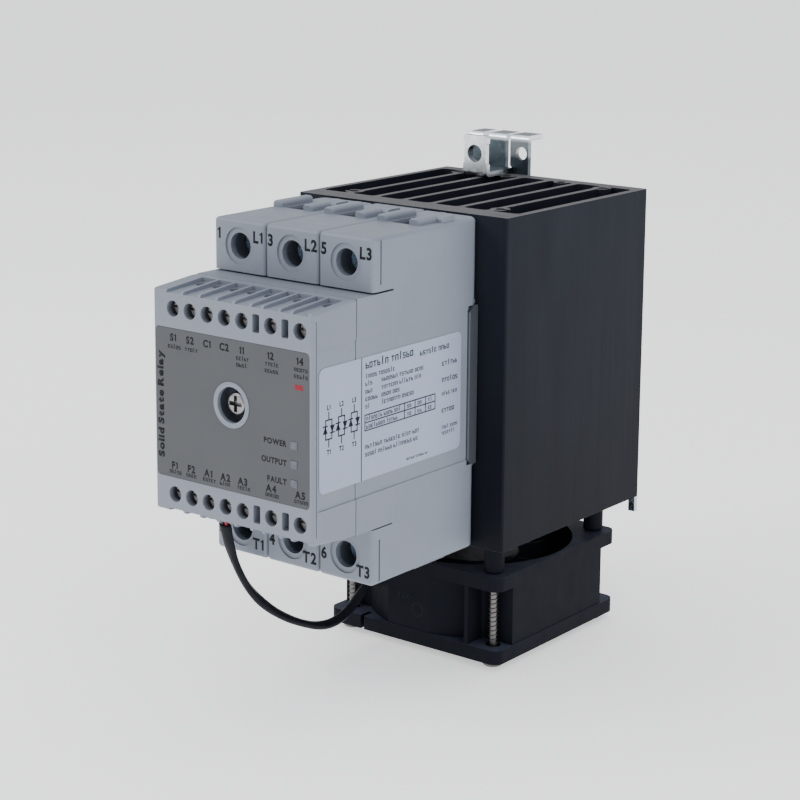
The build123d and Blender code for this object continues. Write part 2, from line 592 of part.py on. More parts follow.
def rotor_blade(angle):
    """One twisted blade, steep at the hub and flatter at the tip."""
    middle = (HUB_TOP + HUB_LOW) / 2
    faces = []
    for x, chord, tilt in ((12.4, 15.0, 55.0), (26.4, 20.0, 35.0)):
        lean = radians(tilt)
        place = Plane(origin=(x, 0, middle), x_dir=(0, cos(lean), sin(lean)), z_dir=(1, 0, 0))
        faces.append(place * RectangleRounded(chord, 1.1, 0.5))
    return Pos(0, FAN_Y, 0) * Rot(0, 0, angle) * loft(faces)


def fan_rotor():
    hub = rod_z(0, FAN_Y, HUB_R, HUB_LOW, HUB_TOP)
    hub = fillet(hub.edges().filter_by(GeomType.CIRCLE).group_by(Axis.Z)[-1], 1.2)
    hub -= rod_z(0, FAN_Y, HUB_R - 1.5, HUB_LOW - 1, HUB_TOP - 1.6)
    for i in range(BLADES):
        hub += rotor_blade(360 / BLADES * i)
    hub += rod_z(0, FAN_Y, 2.4, HUB_TOP - 3.0, HUB_TOP - 1)
    return hub - rod_z(0, FAN_Y, 1.0, HUB_TOP - 4, HUB_TOP - 0.8)


def fan_magnet_ring():
    z0, z1 = HUB_LOW + 0.8, HUB_TOP - 2.4
    return rod_z(0, FAN_Y, HUB_R - 1.5, z0, z1) - rod_z(0, FAN_Y, HUB_R - 3.2, z0 - 1, z1 + 1)


def fan_shaft():
    return rod_z(0, FAN_Y, 1.0, FAN_BOTTOM + 3.1, HUB_TOP - 0.8)


def fan_screw(x, y):
    head = rod_z(x, y, 3.0, FAN_BOTTOM - 2.0, FAN_BOTTOM)
    head = fillet(head.edges().filter_by(GeomType.CIRCLE).group_by(Axis.Z)[0], 1.1)
    for turn in (0, 90):
        head -= Pos(x, y, FAN_BOTTOM - 1.7) * Rot(0, 0, turn) * Box(0.7, 3.4, 1.4)
    return head + rod_z(x, y, FAN_SCREW_R, FAN_BOTTOM - 0.1, -HS_HALF_H + 9.0)


def fan_spacer(x, y):
    post = rod_z(x, y, FAN_SPACER_R, FAN_TOP, -HS_HALF_H)
    post = fillet(post.edges().filter_by(GeomType.CIRCLE).group_by(Axis.Z)[0], 0.9)
    return post - rod_z(x, y, FAN_CLEAR_R, FAN_TOP - 1, -HS_HALF_H + 1)


# Route of the fan's lead as (x, distance behind the heat sink's front face, z).
LEAD_ROUTE = [(-15.4, -53.6, -34.4), (-15.4, -52.6, -39.2), (-15.3, -49.8, -46.5),
              (-15.3, -44.6, -55.0), (-15.3, -36.0, -62.9), (-15.3, -25.0, -69.6),
              (-15.3, -13.5, -74.2), (-15.4, -4.0, -73.6), (-15.5, 3.2, -68.9),
              (-15.6, 7.6, -66.4), (-15.6, 12.0, -66.0)]


def soft_path(points):
    """Straight runs joined by the largest arcs that the runs allow."""
    vectors = [Vector(*p) for p in points]
    radii = []
    for a, b, c in zip(vectors, vectors[1:], vectors[2:]):
        turn = radians((b - a).get_angle(c - b))
        radii.append(0.45 * min((b - a).length, (c - b).length) / tan(turn / 2))
    return FilletPolyline(*vectors, radius=radii), radii


def tube(points, radius):
    path, radii = soft_path(points)
    start = Plane(origin=path @ 0, z_dir=path % 0)
    solid = sweep(start * Circle(radius), path=path)
    expected = 3.14159265 * radius ** 2 * path.length
    print(f"tube r {radius}: length {path.length:.1f}, volume ratio {solid.volume / expected:.4f}, "
          f"tightest arc {min(radii):.1f}")
    return solid


def lead_point(x, behind, z):
    return (x, HS_FRONT + behind, z)


def fan_lead():
    return tube([lead_point(*p) for p in LEAD_ROUTE], LEAD_R)


# Routes of its two conductors, from the end of the sleeve up into their terminals.
RED_WIRE = [(-14.8, -53.6, -34.4), (-14.5, -54.3, -32.0), (-13.95, -56.0, -29.4),
            (-13.95, -56.4, -25.2)]
BLACK_WIRE = [(-16.0, -53.6, -34.4), (-17.2, -54.1, -32.8), (-19.8, -55.1, -32.9),
              (-20.5, -56.6, -30.6), (-19.77, -56.4, -25.2)]


def fan_lead_wire(route):
    return tube([lead_point(*p) for p in route], WIRE_R)


# ---- rail bracket and latch ----
RAIL_HALF = 17.5
HOOK_GAP = 1.3                  # room for the rail's 1 mm flange
EAR_X = (-20.0, -11.4)
EAR_TOP = 57.7
EAR_Y = (-14.5, -13.0)
EAR_HOLE = (-15.9, 52.3)
EAR_HOLE_R = 2.6
EAR_WAIST = 0.45                # the ear is narrower by this much on each side of its hole
EAR_WEB_Z = (45.6, 47.1)
PANEL_TOP = 57.0
PANEL_HOLE = (-8.2, 51.6)
PANEL_HOLE_R = 1.95


def bracket_panel():
    panel = slab(-27.0, -5.7, HS_BACK, 0, 44.0, PANEL_TOP)
    panel += slab(-27.0, -5.7, -0.5, 6.0, PANEL_TOP - PLATE, PANEL_TOP)
    bend = panel.edges().filter_by(Axis.X).group_by(Axis.Z)[-1].sort_by(Axis.Y)[0]
    panel = fillet(bend, 1.4)
    panel -= slab(-22.3, -20.0, -5, 8, 46.5, 60)
    panel -= slab(-13.8, -12.2, -5, 8, 46.9, 60)
    panel -= rod_y(-12.6, 46.9, 0.95, -5, 3)
    panel -= rod_y(*PANEL_HOLE, PANEL_HOLE_R, -5, 3)
    panel -= slab(-28, -25.0, -5, 0.5, 44.6, 46.4)
    return panel


def bracket_ear():
    """Earth terminal: a tongue bent forward over the heat sink, then up."""
    web = slab(*EAR_X, EAR_Y[0], HS_BACK + 0.1, *EAR_WEB_Z)
    ear = plate_y(*EAR_X, EAR_WEB_Z[0], EAR_TOP, 0.6, *EAR_Y)
    ear += slab(EAR_X[0], EAR_X[1], *EAR_Y, EAR_WEB_Z[0], EAR_WEB_Z[0] + 3)
    waist = (EAR_WEB_Z[1] + EAR_TOP) / 2
    for x in EAR_X:
        ear -= plate_y(x - EAR_WAIST, x + EAR_WAIST, waist - 3.1, waist + 3.1, 0.4, -16, -10)
    ear += rod_y(*EAR_HOLE, EAR_HOLE_R + 0.6, EAR_Y[1], EAR_Y[1] + 1.2)
    tongue = web + ear
    heel = tongue.edges().filter_by(Axis.X).group_by(Axis.Y)[0].sort_by(Axis.Z)[0]
    tongue = fillet(heel, 1.3)
    return tongue - rod_y(*EAR_HOLE, EAR_HOLE_R, EAR_Y[0] - 1, EAR_Y[1] + 2)


LATCH_HALF_W = 13.0
LATCH_TOP = -17.9
LATCH_TRAVEL = 5.0
GUIDE_Z = (-37.9, -26.2)
BAR_Z = (-42.0, -38.0)
SPRING_R = 1.8
SPRING_WIRE_R = 0.3
SPRING_TURNS = 7
SPRING_Z = (-35.0, -24.0)
SPRING_Y = 0.8


def rail_bracket():
    plate = slab(-27.0, 27.0, HS_BACK, 0, -40.0, 44.5)
    plate = fillet(plate.edges().filter_by(Axis.Y), 2.0)
    body = plate + bracket_panel() + bracket_ear()
    for x in (-18.0, 18.0):
        body += slab(x - 6, x + 6, -0.5, HOOK_GAP + PLATE, RAIL_HALF + 0.3, RAIL_HALF + 1.8)
        body += slab(x - 6, x + 6, HOOK_GAP, HOOK_GAP + PLATE, 14.5, RAIL_HALF + 1.8)
    for sign in (-1, 1):
        post = sign * (LATCH_HALF_W + 0.1)
        body += slab(post, post + sign * PLATE, -0.5, 3.15, *GUIDE_Z)
        body += slab(sign * 11.5, post + sign * PLATE, 1.65, 3.15, *GUIDE_Z)
    body -= slab(-3.2, 3.2, -2, 0.5, *SPRING_Z)
    body += slab(-2.9, 2.9, HS_BACK, 3.0, SPRING_Z[0] - PLATE, SPRING_Z[0])
    for x, z in BRACKET_SCREW_XZ:
        body -= rod_y(x, z, BRACKET_SCREW_R + 0.15, -3, 1)
    return body


def rail_latch():
    gap = 0.05
    body = slab(-LATCH_HALF_W, LATCH_HALF_W, gap, gap + PLATE, BAR_Z[0], LATCH_TOP)
    body += slab(-33.5, 33.5, gap, gap + PLATE, *BAR_Z)
    for sign in (-1, 1):
        body += slab(sign * 31.4, sign * 33.5, gap, gap + PLATE, -51.0, BAR_Z[1])
    body += slab(-LATCH_HALF_W, LATCH_HALF_W, HOOK_GAP, HOOK_GAP + PLATE, -20.5, -14.5)
    return body - slab(-3.2, 3.2, -1, 4, -37.0, SPRING_Z[1])


def latch_spring():
    height = SPRING_Z[1] - SPRING_Z[0] - 2 * SPRING_WIRE_R - 0.04
    path = Helix(pitch=height / SPRING_TURNS, height=height, radius=SPRING_R)
    wire = sweep(Plane(origin=path @ 0, z_dir=path % 0) * Circle(SPRING_WIRE_R), path=path,
                 is_frenet=True)
    return Pos(0, SPRING_Y, SPRING_Z[0] + SPRING_WIRE_R + 0.02) * wire


def bracket_screw(x, z):
    head = rod_y(x, z, 3.6, 0, 2.1)
    head = fillet(head.edges().filter_by(GeomType.CIRCLE).group_by(Axis.Y)[-1], 0.9)
    for turn in (45, 135):
        head -= Pos(x, 1.9, z) * Rot(0, turn, 0) * Box(0.8, 1.4, 4.2)
    return head + rod_y(x, z, BRACKET_SCREW_R, HS_BACK - 4.0, 0.1)


# ---- write every node ----
save("heat_sink", heat_sink())
for number in range(3):
    save(f"pole_housing_{number + 1}", pole_housing(number))
save("side_clips", side_clip(-1), side_clip(1))
save("control_front_cover", control_front_cover())
save("control_rear_housing", control_rear_housing())
save("front_panel_overlay", front_panel_overlay())
save("rating_label", rating_label())
save("status_light_pipes", *[light_pipe(z) for z in LIGHT_Z])
save("control_board", control_board())
save("board_components", *board_components())
save("control_terminal_blocks", *[terminal_pillar(*p) for p in control_positions()])
save("gate_connectors", *[gate_connector(x) for x in POLE_X])
save("thermal_pads", *[thermal_pad(x) for x in POLE_X])
save("power_substrates", *[solid for x in POLE_X for solid in power_substrate(x)])
save("busbars", *[busbar(x, up) for x in POLE_X for up in (1, -1)])
save("pole_fixing_screws", *[pole_screw(x + POLE_SCREW_DX, z) for x in POLE_X
                             for z in (-POLE_SCREW_Z, POLE_SCREW_Z)])
save("module_fixing_screw", module_fixing_screw())
for number, x in enumerate(POLE_X):
    for row, up in (("line", 1), ("load", -1)):
        save(f"{row}_screw_{number + 1}", power_screw(x, up * TERMINAL_Z))
        save(f"{row}_clamp_{number + 1}", power_clamp(x, up * TERMINAL_Z))
for number, (x, z, up) in enumerate(control_positions()):
    save(f"control_screw_{number + 1}", control_screw(x, z))
save("fan_frame", fan_frame())
save("fan_bearings", *[fan_bearing(*span) for span in BEARING_SPANS])
save("fan_stator", fan_stator())
save("fan_circuit_board", fan_circuit_board())
save("fan_rotor", fan_rotor())
save("fan_magnet_ring", fan_magnet_ring())
save("fan_shaft", fan_shaft())
save("fan_screws", *[fan_screw(x, y) for x, y in fan_hole_xy()])
save("fan_spacers", *[fan_spacer(x, y) for x, y in fan_hole_xy()])
save("fan_lead", fan_lead())
save("fan_lead_wires", fan_lead_wire(RED_WIRE), fan_lead_wire(BLACK_WIRE))
save("rail_bracket", rail_bracket())
save("rail_latch", rail_latch())
save("latch_spring", latch_spring())
save("bracket_screws", *[bracket_screw(x, z) for x, z in BRACKET_SCREW_XZ])
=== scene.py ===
import math
import random

import bmesh
import bpy
from mathutils import Matrix, Vector


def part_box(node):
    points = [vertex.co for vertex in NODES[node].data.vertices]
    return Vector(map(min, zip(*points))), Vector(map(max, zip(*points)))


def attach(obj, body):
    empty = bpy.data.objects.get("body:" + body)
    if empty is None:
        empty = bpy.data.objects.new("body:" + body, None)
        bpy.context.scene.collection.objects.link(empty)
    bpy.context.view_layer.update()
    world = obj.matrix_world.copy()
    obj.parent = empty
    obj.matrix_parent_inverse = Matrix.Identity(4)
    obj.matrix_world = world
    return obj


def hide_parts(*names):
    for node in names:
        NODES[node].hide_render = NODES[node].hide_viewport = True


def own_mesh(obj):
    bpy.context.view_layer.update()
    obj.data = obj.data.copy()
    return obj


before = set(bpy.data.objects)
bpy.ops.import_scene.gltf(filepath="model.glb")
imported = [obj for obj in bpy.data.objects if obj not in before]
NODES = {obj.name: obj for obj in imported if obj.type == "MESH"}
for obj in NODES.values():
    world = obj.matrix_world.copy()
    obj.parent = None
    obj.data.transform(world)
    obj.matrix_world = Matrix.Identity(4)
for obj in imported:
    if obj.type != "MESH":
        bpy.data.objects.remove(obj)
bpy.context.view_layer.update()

# A three-pole solid state relay. Metres, in the CAD model's frame: +X right, +Y back, +Z up.
MM = 0.001
HOUSING = "housing"

# ---- places read from the CAD model ----
SINK_LOW, SINK_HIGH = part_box("heat_sink")
FILM_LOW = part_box("front_panel_overlay")[0]
LABEL_LOW, LABEL_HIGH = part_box("rating_label")
FAN_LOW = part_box("fan_frame")[0]
SCREWS_LOW, SCREWS_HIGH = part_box("fan_screws")
SINK_FRONT = SINK_LOW[1]
FLOOR_Z = SCREWS_LOW[2] - 0.1 * MM


def front(depth):
    """Y of a point this many millimetres in front of the heat sink's front face."""
    return SINK_FRONT - depth * MM


# ---- camera ----
CAMERA_AZIMUTH = math.radians(37.858)
CAMERA_ELEVATION = math.radians(11.501)
CAMERA_ROLL = math.radians(0.443)
CAMERA_LENS = 95.88
CAMERA_SHIFT_UP = -0.125
CAMERA_DISTANCE = 0.58336
CAMERA_ASIDE = 0.00043
CAMERA_ABOVE = 0.01880
CAMERA_AIM = Vector((0.0, SINK_FRONT, 0.0))


def make_camera():
    az, el, roll = CAMERA_AZIMUTH, CAMERA_ELEVATION, CAMERA_ROLL
    back = Vector((math.sin(az) * math.cos(el), -math.cos(az) * math.cos(el), math.sin(el)))
    level = Vector((math.cos(az), math.sin(az), 0.0))
    upright = back.cross(level)
    right = math.cos(roll) * level + math.sin(roll) * upright
    up = math.cos(roll) * upright - math.sin(roll) * level
    place = CAMERA_AIM + back * CAMERA_DISTANCE + right * CAMERA_ASIDE + up * CAMERA_ABOVE
    data = bpy.data.cameras.new("camera")
    data.lens = CAMERA_LENS
    data.sensor_width = 36.0
    data.shift_y = CAMERA_SHIFT_UP
    data.clip_start = 0.02
    data.clip_end = 20.0
    camera = bpy.data.objects.new("camera", data)
    turn = Matrix((right, up, back)).transposed().to_4x4()
    camera.matrix_world = Matrix.Translation(place) @ turn
    bpy.context.scene.collection.objects.link(camera)
    bpy.context.scene.camera = camera


# ---- studio ----
FLOOR_REACH = 4.0               # half the floor's side


def area_light(name, place, target, size, power, colour=(1.0, 1.0, 1.0)):
    data = bpy.data.lights.new(name, "AREA")
    data.shape = "RECTANGLE"
    data.size, data.size_y = size
    data.energy = power
    data.color = colour
    lamp = bpy.data.objects.new(name, data)
    aim = Vector(target) - Vector(place)
    lamp.location = place
    lamp.rotation_euler = aim.to_track_quat("-Z", "Y").to_euler()
    bpy.context.scene.collection.objects.link(lamp)


def make_world():
    """A soft sky, brighter overhead than near the horizon."""
    world = bpy.data.worlds.new("studio")
    world.use_nodes = True
    tree = world.node_tree
    sky = tree.nodes["Background"]
    sky.inputs["Color"].default_value = (0.94, 0.96, 1.0, 1.0)
    split = tree.nodes.new("ShaderNodeSeparateXYZ")
    height = tree.nodes.new("ShaderNodeMapRange")
    height.inputs["From Min"].default_value = 0.0
    height.inputs["From Max"].default_value = 0.75
    height.inputs["To Min"].default_value = 0.55
    height.inputs["To Max"].default_value = 1.15
    coords = tree.nodes.new("ShaderNodeTexCoord")
    tree.links.new(coords.outputs["Generated"], split.inputs["Vector"])
    tree.links.new(split.outputs["Z"], height.inputs["Value"])
    tree.links.new(height.outputs["Result"], sky.inputs["Strength"])
    bpy.context.scene.world = world


def make_studio():
    make_world()
    middle = (0.0, SINK_FRONT, 0.0)
    area_light("key", (-0.55, -0.80, 0.65), middle, (0.6, 0.6), 5.5)
    area_light("fill", (0.95, -0.30, 0.25), middle, (0.5, 0.8), 3.0, (0.93, 0.96, 1.0))
    area_light("top", (0.1, 0.0, 1.0), middle, (0.9, 0.9), 2.0)
    mesh = bpy.data.meshes.new("floor")
    corners = [(x * FLOOR_REACH, y * FLOOR_REACH, FLOOR_Z)
               for x, y in ((-1, -1), (1, -1), (1, 1), (-1, 1))]
    mesh.from_pydata(corners, [], [(0, 1, 2, 3)])
    floor = bpy.data.objects.new("floor", mesh)
    bpy.context.scene.collection.objects.link(floor)
    mesh.materials.append(floor_material())


# ---- material building blocks ----
class Look:
    """A node material with a Principled shader, built from a few procedural steps."""

    def __init__(self, name, roughness=0.5, metallic=0.0, specular=0.5):
        self.material = bpy.data.materials.new(name)
        self.material.use_nodes = True
        self.tree = self.material.node_tree
        self.shader = self.tree.nodes["Principled BSDF"]
        self.shader.inputs["Roughness"].default_value = roughness
        self.shader.inputs["Metallic"].default_value = metallic
        self.shader.inputs["Specular IOR Level"].default_value = specular
        self.coords = self.node("ShaderNodeTexCoord").outputs["Object"]

    def node(self, kind, **settings):
        made = self.tree.nodes.new(kind)
        for key, value in settings.items():
            setattr(made, key, value)
        return made

    def link(self, source, target):
        self.tree.links.new(source, target)

    def stretched(self, scale):
        mapping = self.node("ShaderNodeMapping")
        mapping.inputs["Scale"].default_value = scale
        self.link(self.coords, mapping.inputs["Vector"])
        return mapping.outputs["Vector"]

    def noise(self, size, detail=2.0, stretch=(1.0, 1.0, 1.0), roughness=0.5):
        """Noise with features about size metres across, stretched along the axes."""
        made = self.node("ShaderNodeTexNoise")
        made.inputs["Scale"].default_value = 1.0 / size
        made.inputs["Detail"].default_value = detail
        made.inputs["Roughness"].default_value = roughness
        self.link(self.stretched(stretch), made.inputs["Vector"])
        return made.outputs["Fac"]

    def ramp(self, value, low, high, out_low=0.0, out_high=1.0):
        made = self.node("ShaderNodeMapRange")
        made.inputs["From Min"].default_value = low
        made.inputs["From Max"].default_value = high
        made.inputs["To Min"].default_value = out_low
        made.inputs["To Max"].default_value = out_high
        self.link(value, made.inputs["Value"])
        return made.outputs["Result"]

    def step(self, value, place, before, after):
        """Goes from before to after within a tenth of a millimetre past place."""
        return self.ramp(value, place * MM, (place + 0.1) * MM, before, after)

    def blend(self, factor, first, second):
        """A colour between two colours or colour sockets."""
        made = self.node("ShaderNodeMix", data_type="RGBA")
        self.link(factor, made.inputs["Factor"])
        for value, target in ((first, made.inputs["A"]), (second, made.inputs["B"])):
            if isinstance(value, tuple):
                target.default_value = (*value, 1.0)
            else:
                self.link(value, target)
        return made.outputs["Result"]

    def maths(self, operation, first, second):
        made = self.node("ShaderNodeMath", operation=operation)
        for value, target in ((first, made.inputs[0]), (second, made.inputs[1])):
            if isinstance(value, (int, float)):
                target.default_value = value
            else:
                self.link(value, target)
        return made.outputs["Value"]

    def edges(self, radius):
        """Near 1 within about radius of a convex or concave edge, 0 on flat faces."""
        bevel = self.node("ShaderNodeBevel", samples=4)
        bevel.inputs["Radius"].default_value = radius
        flat = self.node("ShaderNodeNewGeometry")
        dot = self.node("ShaderNodeVectorMath", operation="DOT_PRODUCT")
        self.link(bevel.outputs["Normal"], dot.inputs[0])
        self.link(flat.outputs["Normal"], dot.inputs[1])
        return self.ramp(dot.outputs["Value"], 0.995, 0.85)

    def normal(self, axis):
        """The surface normal's component along one object axis."""
        split = self.node("ShaderNodeSeparateXYZ")
        geometry = self.node("ShaderNodeTexCoord")
        self.link(geometry.outputs["Normal"], split.inputs["Vector"])
        return split.outputs[axis]

    def facing(self, axis):
        """The size of the surface normal's component along one object axis."""
        return self.maths("ABSOLUTE", self.normal(axis), 0.0)

    def place(self, axis):
        """One coordinate of the surface point, in metres."""
        split = self.node("ShaderNodeSeparateXYZ")
        self.link(self.coords, split.inputs["Vector"])
        return split.outputs[axis]

    def product(self, first, *others):
        for other in others:
            first = self.maths("MULTIPLY", first, other)
        return first

    def colour(self, source):
        if isinstance(source, tuple):
            self.shader.inputs["Base Color"].default_value = (*source, 1.0)
        else:
            self.link(source, self.shader.inputs["Base Color"])

    def rough(self, source):
        self.link(source, self.shader.inputs["Roughness"])

    def bump(self, height, depth, strength=1.0):
        """Bump from a 0..1 height that stands depth metres tall."""
        made = self.node("ShaderNodeBump")
        made.inputs["Distance"].default_value = depth
        made.inputs["Strength"].default_value = strength
        self.link(height, made.inputs["Height"])
        self.link(made.outputs["Normal"], self.shader.inputs["Normal"])


def shade(colour, factor):
    return tuple(min(1.0, c * factor) for c in colour)


# ---- materials ----
def floor_material():
    look = Look("floor_paper", roughness=0.9, specular=0.1)
    tone = look.ramp(look.noise(0.3, 3.0), 0.3, 0.7)
    look.colour(look.blend(tone, (0.93, 0.93, 0.93), (0.96, 0.96, 0.96)))
    look.shader.inputs["Emission Color"].default_value = (1.0, 1.0, 1.0, 1.0)
    look.shader.inputs["Emission Strength"].default_value = 0.62
    return look.material


# Where the bores' painted shade starts and is full, as distances in front of the heat sink, and
# where it ends. All in millimetres.
POLE_BORES = (44.4, 41.5)
POLE_HALF_HEIGHT = 44.1
MODULE_BORES = (67.3, 65.4)
MODULE_BACK = 44.8
MODULE_HALF_HEIGHT = 27.0
HOUSING_HALF_WIDTH = 25.9
SCREW_ROOM_HALF = 6.9           # the room for the module's screw is lit better than the bores
POCKET_X = (8.235, 17.685)      # so are the two shallow pockets between the terminal bores
POCKET_HALF_WIDTH = 1.3


def bore_shade(look):
    """Painted shade that grows from 0 at the mouths of the terminal bores, deep into the housings.
    """
    depth = look.maths("SUBTRACT", SINK_FRONT, look.place("Y"))
    aside = look.maths("ABSOLUTE", look.place("X"), 0.0)
    height = look.maths("ABSOLUTE", look.place("Z"), 0.0)
    pole = look.product(look.ramp(depth, POLE_BORES[0] * MM, POLE_BORES[1] * MM, 0.0, 0.40),
                        look.step(height, POLE_HALF_HEIGHT, 1.0, 0.0))
    module = look.product(look.ramp(depth, MODULE_BORES[0] * MM, MODULE_BORES[1] * MM, 0.0, 0.76),
                          look.step(depth, MODULE_BACK, 0.0, 1.0),
                          look.step(height, MODULE_HALF_HEIGHT, 1.0, 0.0))
    for x in POCKET_X:
        offset = look.maths("ABSOLUTE", look.maths("SUBTRACT", look.place("X"), x * MM), 0.0)
        module = look.product(module, look.step(offset, POCKET_HALF_WIDTH, 0.1, 1.0))
    centre = look.maths("MAXIMUM", aside, height)
    module = look.product(module, look.step(centre, SCREW_ROOM_HALF, 0.55, 1.0))
    inner = look.step(aside, HOUSING_HALF_WIDTH, 1.0, 0.0)
    return look.product(look.maths("MAXIMUM", pole, module), inner)


def fan_wall_shade(look):
    """Painted shade on the fan's walls, which makes them darker than its flanges' flat faces."""
    return look.ramp(look.facing("Z"), 0.95, 0.7, 0.0, 0.86)


def moulded_plastic(name, colour, roughness, grain_depth=0.012 * MM, wear_and_highlight=1.25, specular=0.5,
                    painted_shade_mask=None):
    """Spark-eroded thermoplastic: fine grain, faint flow clouds, edges polished by handling
    and lightened by painted highlight.
    """
    look = Look(name, roughness=roughness, specular=specular)
    clouds = look.ramp(look.noise(22 * MM, 3.0), 0.35, 0.65)
    fine = look.noise(0.35 * MM, 2.0)
    base = look.blend(clouds, shade(colour, 0.965), shade(colour, 1.03))
    speck = look.ramp(look.noise(0.9 * MM, 1.0), 0.62, 0.80, 0.0, 0.25)
    base = look.blend(speck, base, shade(colour, 0.86))
    # Lighter, smoother edges in patches: wear from handling, and painted highlight.
    edge = look.edges(0.25 * MM)
    worn_and_highlit = look.maths("MULTIPLY", edge, look.ramp(look.noise(3 * MM, 3.0), 0.3, 0.7, 0.35, 0.9))
    base = look.blend(worn_and_highlit, base, shade(colour, wear_and_highlight))
    # A shade mask, where given, paints shade by blending the colour toward a near-black copy.
    look.colour(look.blend(painted_shade_mask(look), base, shade(colour, 0.06)) if painted_shade_mask else base)
    smooth = look.ramp(look.noise(5 * MM, 3.0), 0.3, 0.7, roughness - 0.05, roughness + 0.06)
    look.rough(look.maths("SUBTRACT", smooth, look.maths("MULTIPLY", worn_and_highlit, 0.08)))
    look.bump(fine, grain_depth)
    return look.material


def anodised(name):
    """Black anodised extrusion: die lines along Z on its walls, saw marks on its cut ends, and
    painted shade that darkens the walls towards the bottom.
    """
    look = Look(name, roughness=0.48, specular=0.055)
    lines = look.noise(0.55 * MM, 3.0, (1.0, 1.0, 0.012))
    clouds = look.ramp(look.noise(14 * MM, 3.0, (1.0, 1.0, 0.25)), 0.35, 0.65)
    wall = look.blend(clouds, (0.0105, 0.0125, 0.0185), (0.0145, 0.0168, 0.0240))
    streak = look.ramp(look.noise(1.6 * MM, 2.0, (1.0, 1.0, 0.02)), 0.60, 0.85, 0.0, 0.35)
    wall = look.blend(streak, wall, (0.0155, 0.0175, 0.0240))
    saw = look.noise(0.5 * MM, 3.0, (0.06, 1.0, 1.0))
    cut = look.blend(look.ramp(saw, 0.3, 0.7), (0.082, 0.081, 0.084), (0.122, 0.119, 0.124))
    end = look.ramp(look.facing("Z"), 0.85, 0.97)
    # Painted shade: the walls darken towards the bottom of the heat sink.
    low = look.ramp(look.place("Z"), SINK_LOW[2], SINK_HIGH[2], 0.50, 0.0)
    base = look.blend(end, look.blend(low, wall, (0.002, 0.002, 0.003)), cut)
    # Lighter edges in patches: wear, and painted highlight.
    worn_and_highlit = look.maths("MULTIPLY", look.edges(0.20 * MM),
                      look.ramp(look.noise(4 * MM, 4.0), 0.40, 0.62, 0.05, 0.85))
    look.colour(look.blend(worn_and_highlit, base, (0.085, 0.083, 0.086)))
    rough = look.ramp(lines, 0.3, 0.7, 0.36, 0.47)
    look.rough(look.maths("ADD", rough, look.maths("MULTIPLY", end, 0.06)))
    height = look.maths("ADD", look.maths("MULTIPLY", lines, look.ramp(end, 0.0, 1.0, 1.0, 0.0)),
                        look.maths("MULTIPLY", saw, end))
    look.bump(height, 0.010 * MM)
    return look.material


def plated(name, colour, roughness=0.28, tint=None, depth=0.006 * MM, metallic=1.0, painted_shade_mask=None,
           painted_shade=None):
    """Plated steel: soft cloudy passivation, faint scratches and brighter edges, from rubbing
    and from painted highlight.
    """
    look = Look(name, roughness=roughness, metallic=metallic)
    tint = tint or shade(colour, 0.86)
    clouds = look.ramp(look.noise(4 * MM, 4.0), 0.32, 0.68)
    base = look.blend(clouds, tint, colour)
    scratch = look.noise(0.35 * MM, 2.0, (0.10, 1.0, 1.0))
    base = look.blend(look.ramp(scratch, 0.66, 0.80, 0.0, 0.4), base, shade(colour, 1.18))
    # Brighter edges: rubbing, and painted highlight.
    worn_and_highlit = look.maths("MULTIPLY", look.edges(0.15 * MM), 0.6)
    base = look.blend(worn_and_highlit, base, shade(colour, 1.22))
    # A shade mask, where given, paints shade by blending the colour toward a dark colour.
    look.colour(look.blend(painted_shade_mask(look), base, painted_shade or shade(colour, 0.05)) if painted_shade_mask else base)
    look.rough(look.ramp(look.noise(1.6 * MM, 4.0), 0.3, 0.7, roughness - 0.07,
                         roughness + 0.12))
    look.bump(look.noise(0.5 * MM, 3.0), depth)
    return look.material


def recess_shade(look):
    """Painted shade deep in the driver recess of the module's screw."""
    depth = look.maths("SUBTRACT", SINK_FRONT, look.place("Y"))
    return look.ramp(depth, 65.9 * MM, 65.3 * MM, 0.0, 0.30)


EARTH_HOLE = (-15.9, 52.3)      # the earth tongue's hole, x and z in millimetres


def bracket_shade(look):
    """Painted shade on the panel behind the earth tongue and inside the tongue's hole, and a
    little of it on the top faces and the back plate. The bends stay bright."""
    panel = look.product(look.ramp(look.place("Y"), -6.0 * MM, -3.0 * MM),
                         look.ramp(look.place("Z"), 43.8 * MM, 44.4 * MM),
                         look.ramp(look.normal("Y"), 0.5, 0.2))
    flat = look.ramp(look.place("Z"), 56.0 * MM, 54.8 * MM)
    top = look.ramp(look.facing("Z"), 0.90, 0.98, 0.0, 0.80)
    foot = look.ramp(look.place("Z"), 54.5 * MM, 50.0 * MM)
    beside = look.ramp(look.place("X"), -14.5 * MM, -11.0 * MM, 0.96, 0.70)
    painted_shade = look.maths("MAXIMUM", beside, look.product(foot, 0.96))
    side = look.maths("SUBTRACT", look.place("X"), EARTH_HOLE[0] * MM)
    rise = look.maths("SUBTRACT", look.place("Z"), EARTH_HOLE[1] * MM)
    radius = look.maths("SQRT", look.maths("ADD", look.product(side, side),
                                           look.product(rise, rise)), 0.0)
    hole = look.product(look.ramp(radius, 2.7 * MM, 2.6 * MM, 0.0, 0.9),
                        look.ramp(look.place("Y"), -14.4 * MM, -14.0 * MM))
    plate = look.ramp(look.place("Z"), 44.4 * MM, 43.8 * MM, 0.0, 0.38)
    return look.maths("MAXIMUM", look.maths("MAXIMUM", look.product(panel, flat, painted_shade), plate),
                      look.maths("MAXIMUM", top, hole))


def film(name, colour, roughness, grain_depth, specular=0.5):
    """Printed polyester film with a very fine matt lacquer."""
    look = Look(name, roughness=roughness, specular=specular)
    clouds = look.ramp(look.noise(18 * MM, 2.0), 0.35, 0.65)
    look.colour(look.blend(clouds, shade(colour, 0.975), shade(colour, 1.025)))
    look.rough(look.ramp(look.noise(7 * MM, 3.0), 0.3, 0.7, roughness - 0.04, roughness + 0.05))
    look.bump(look.noise(0.22 * MM, 2.0), grain_depth)
    return look.material


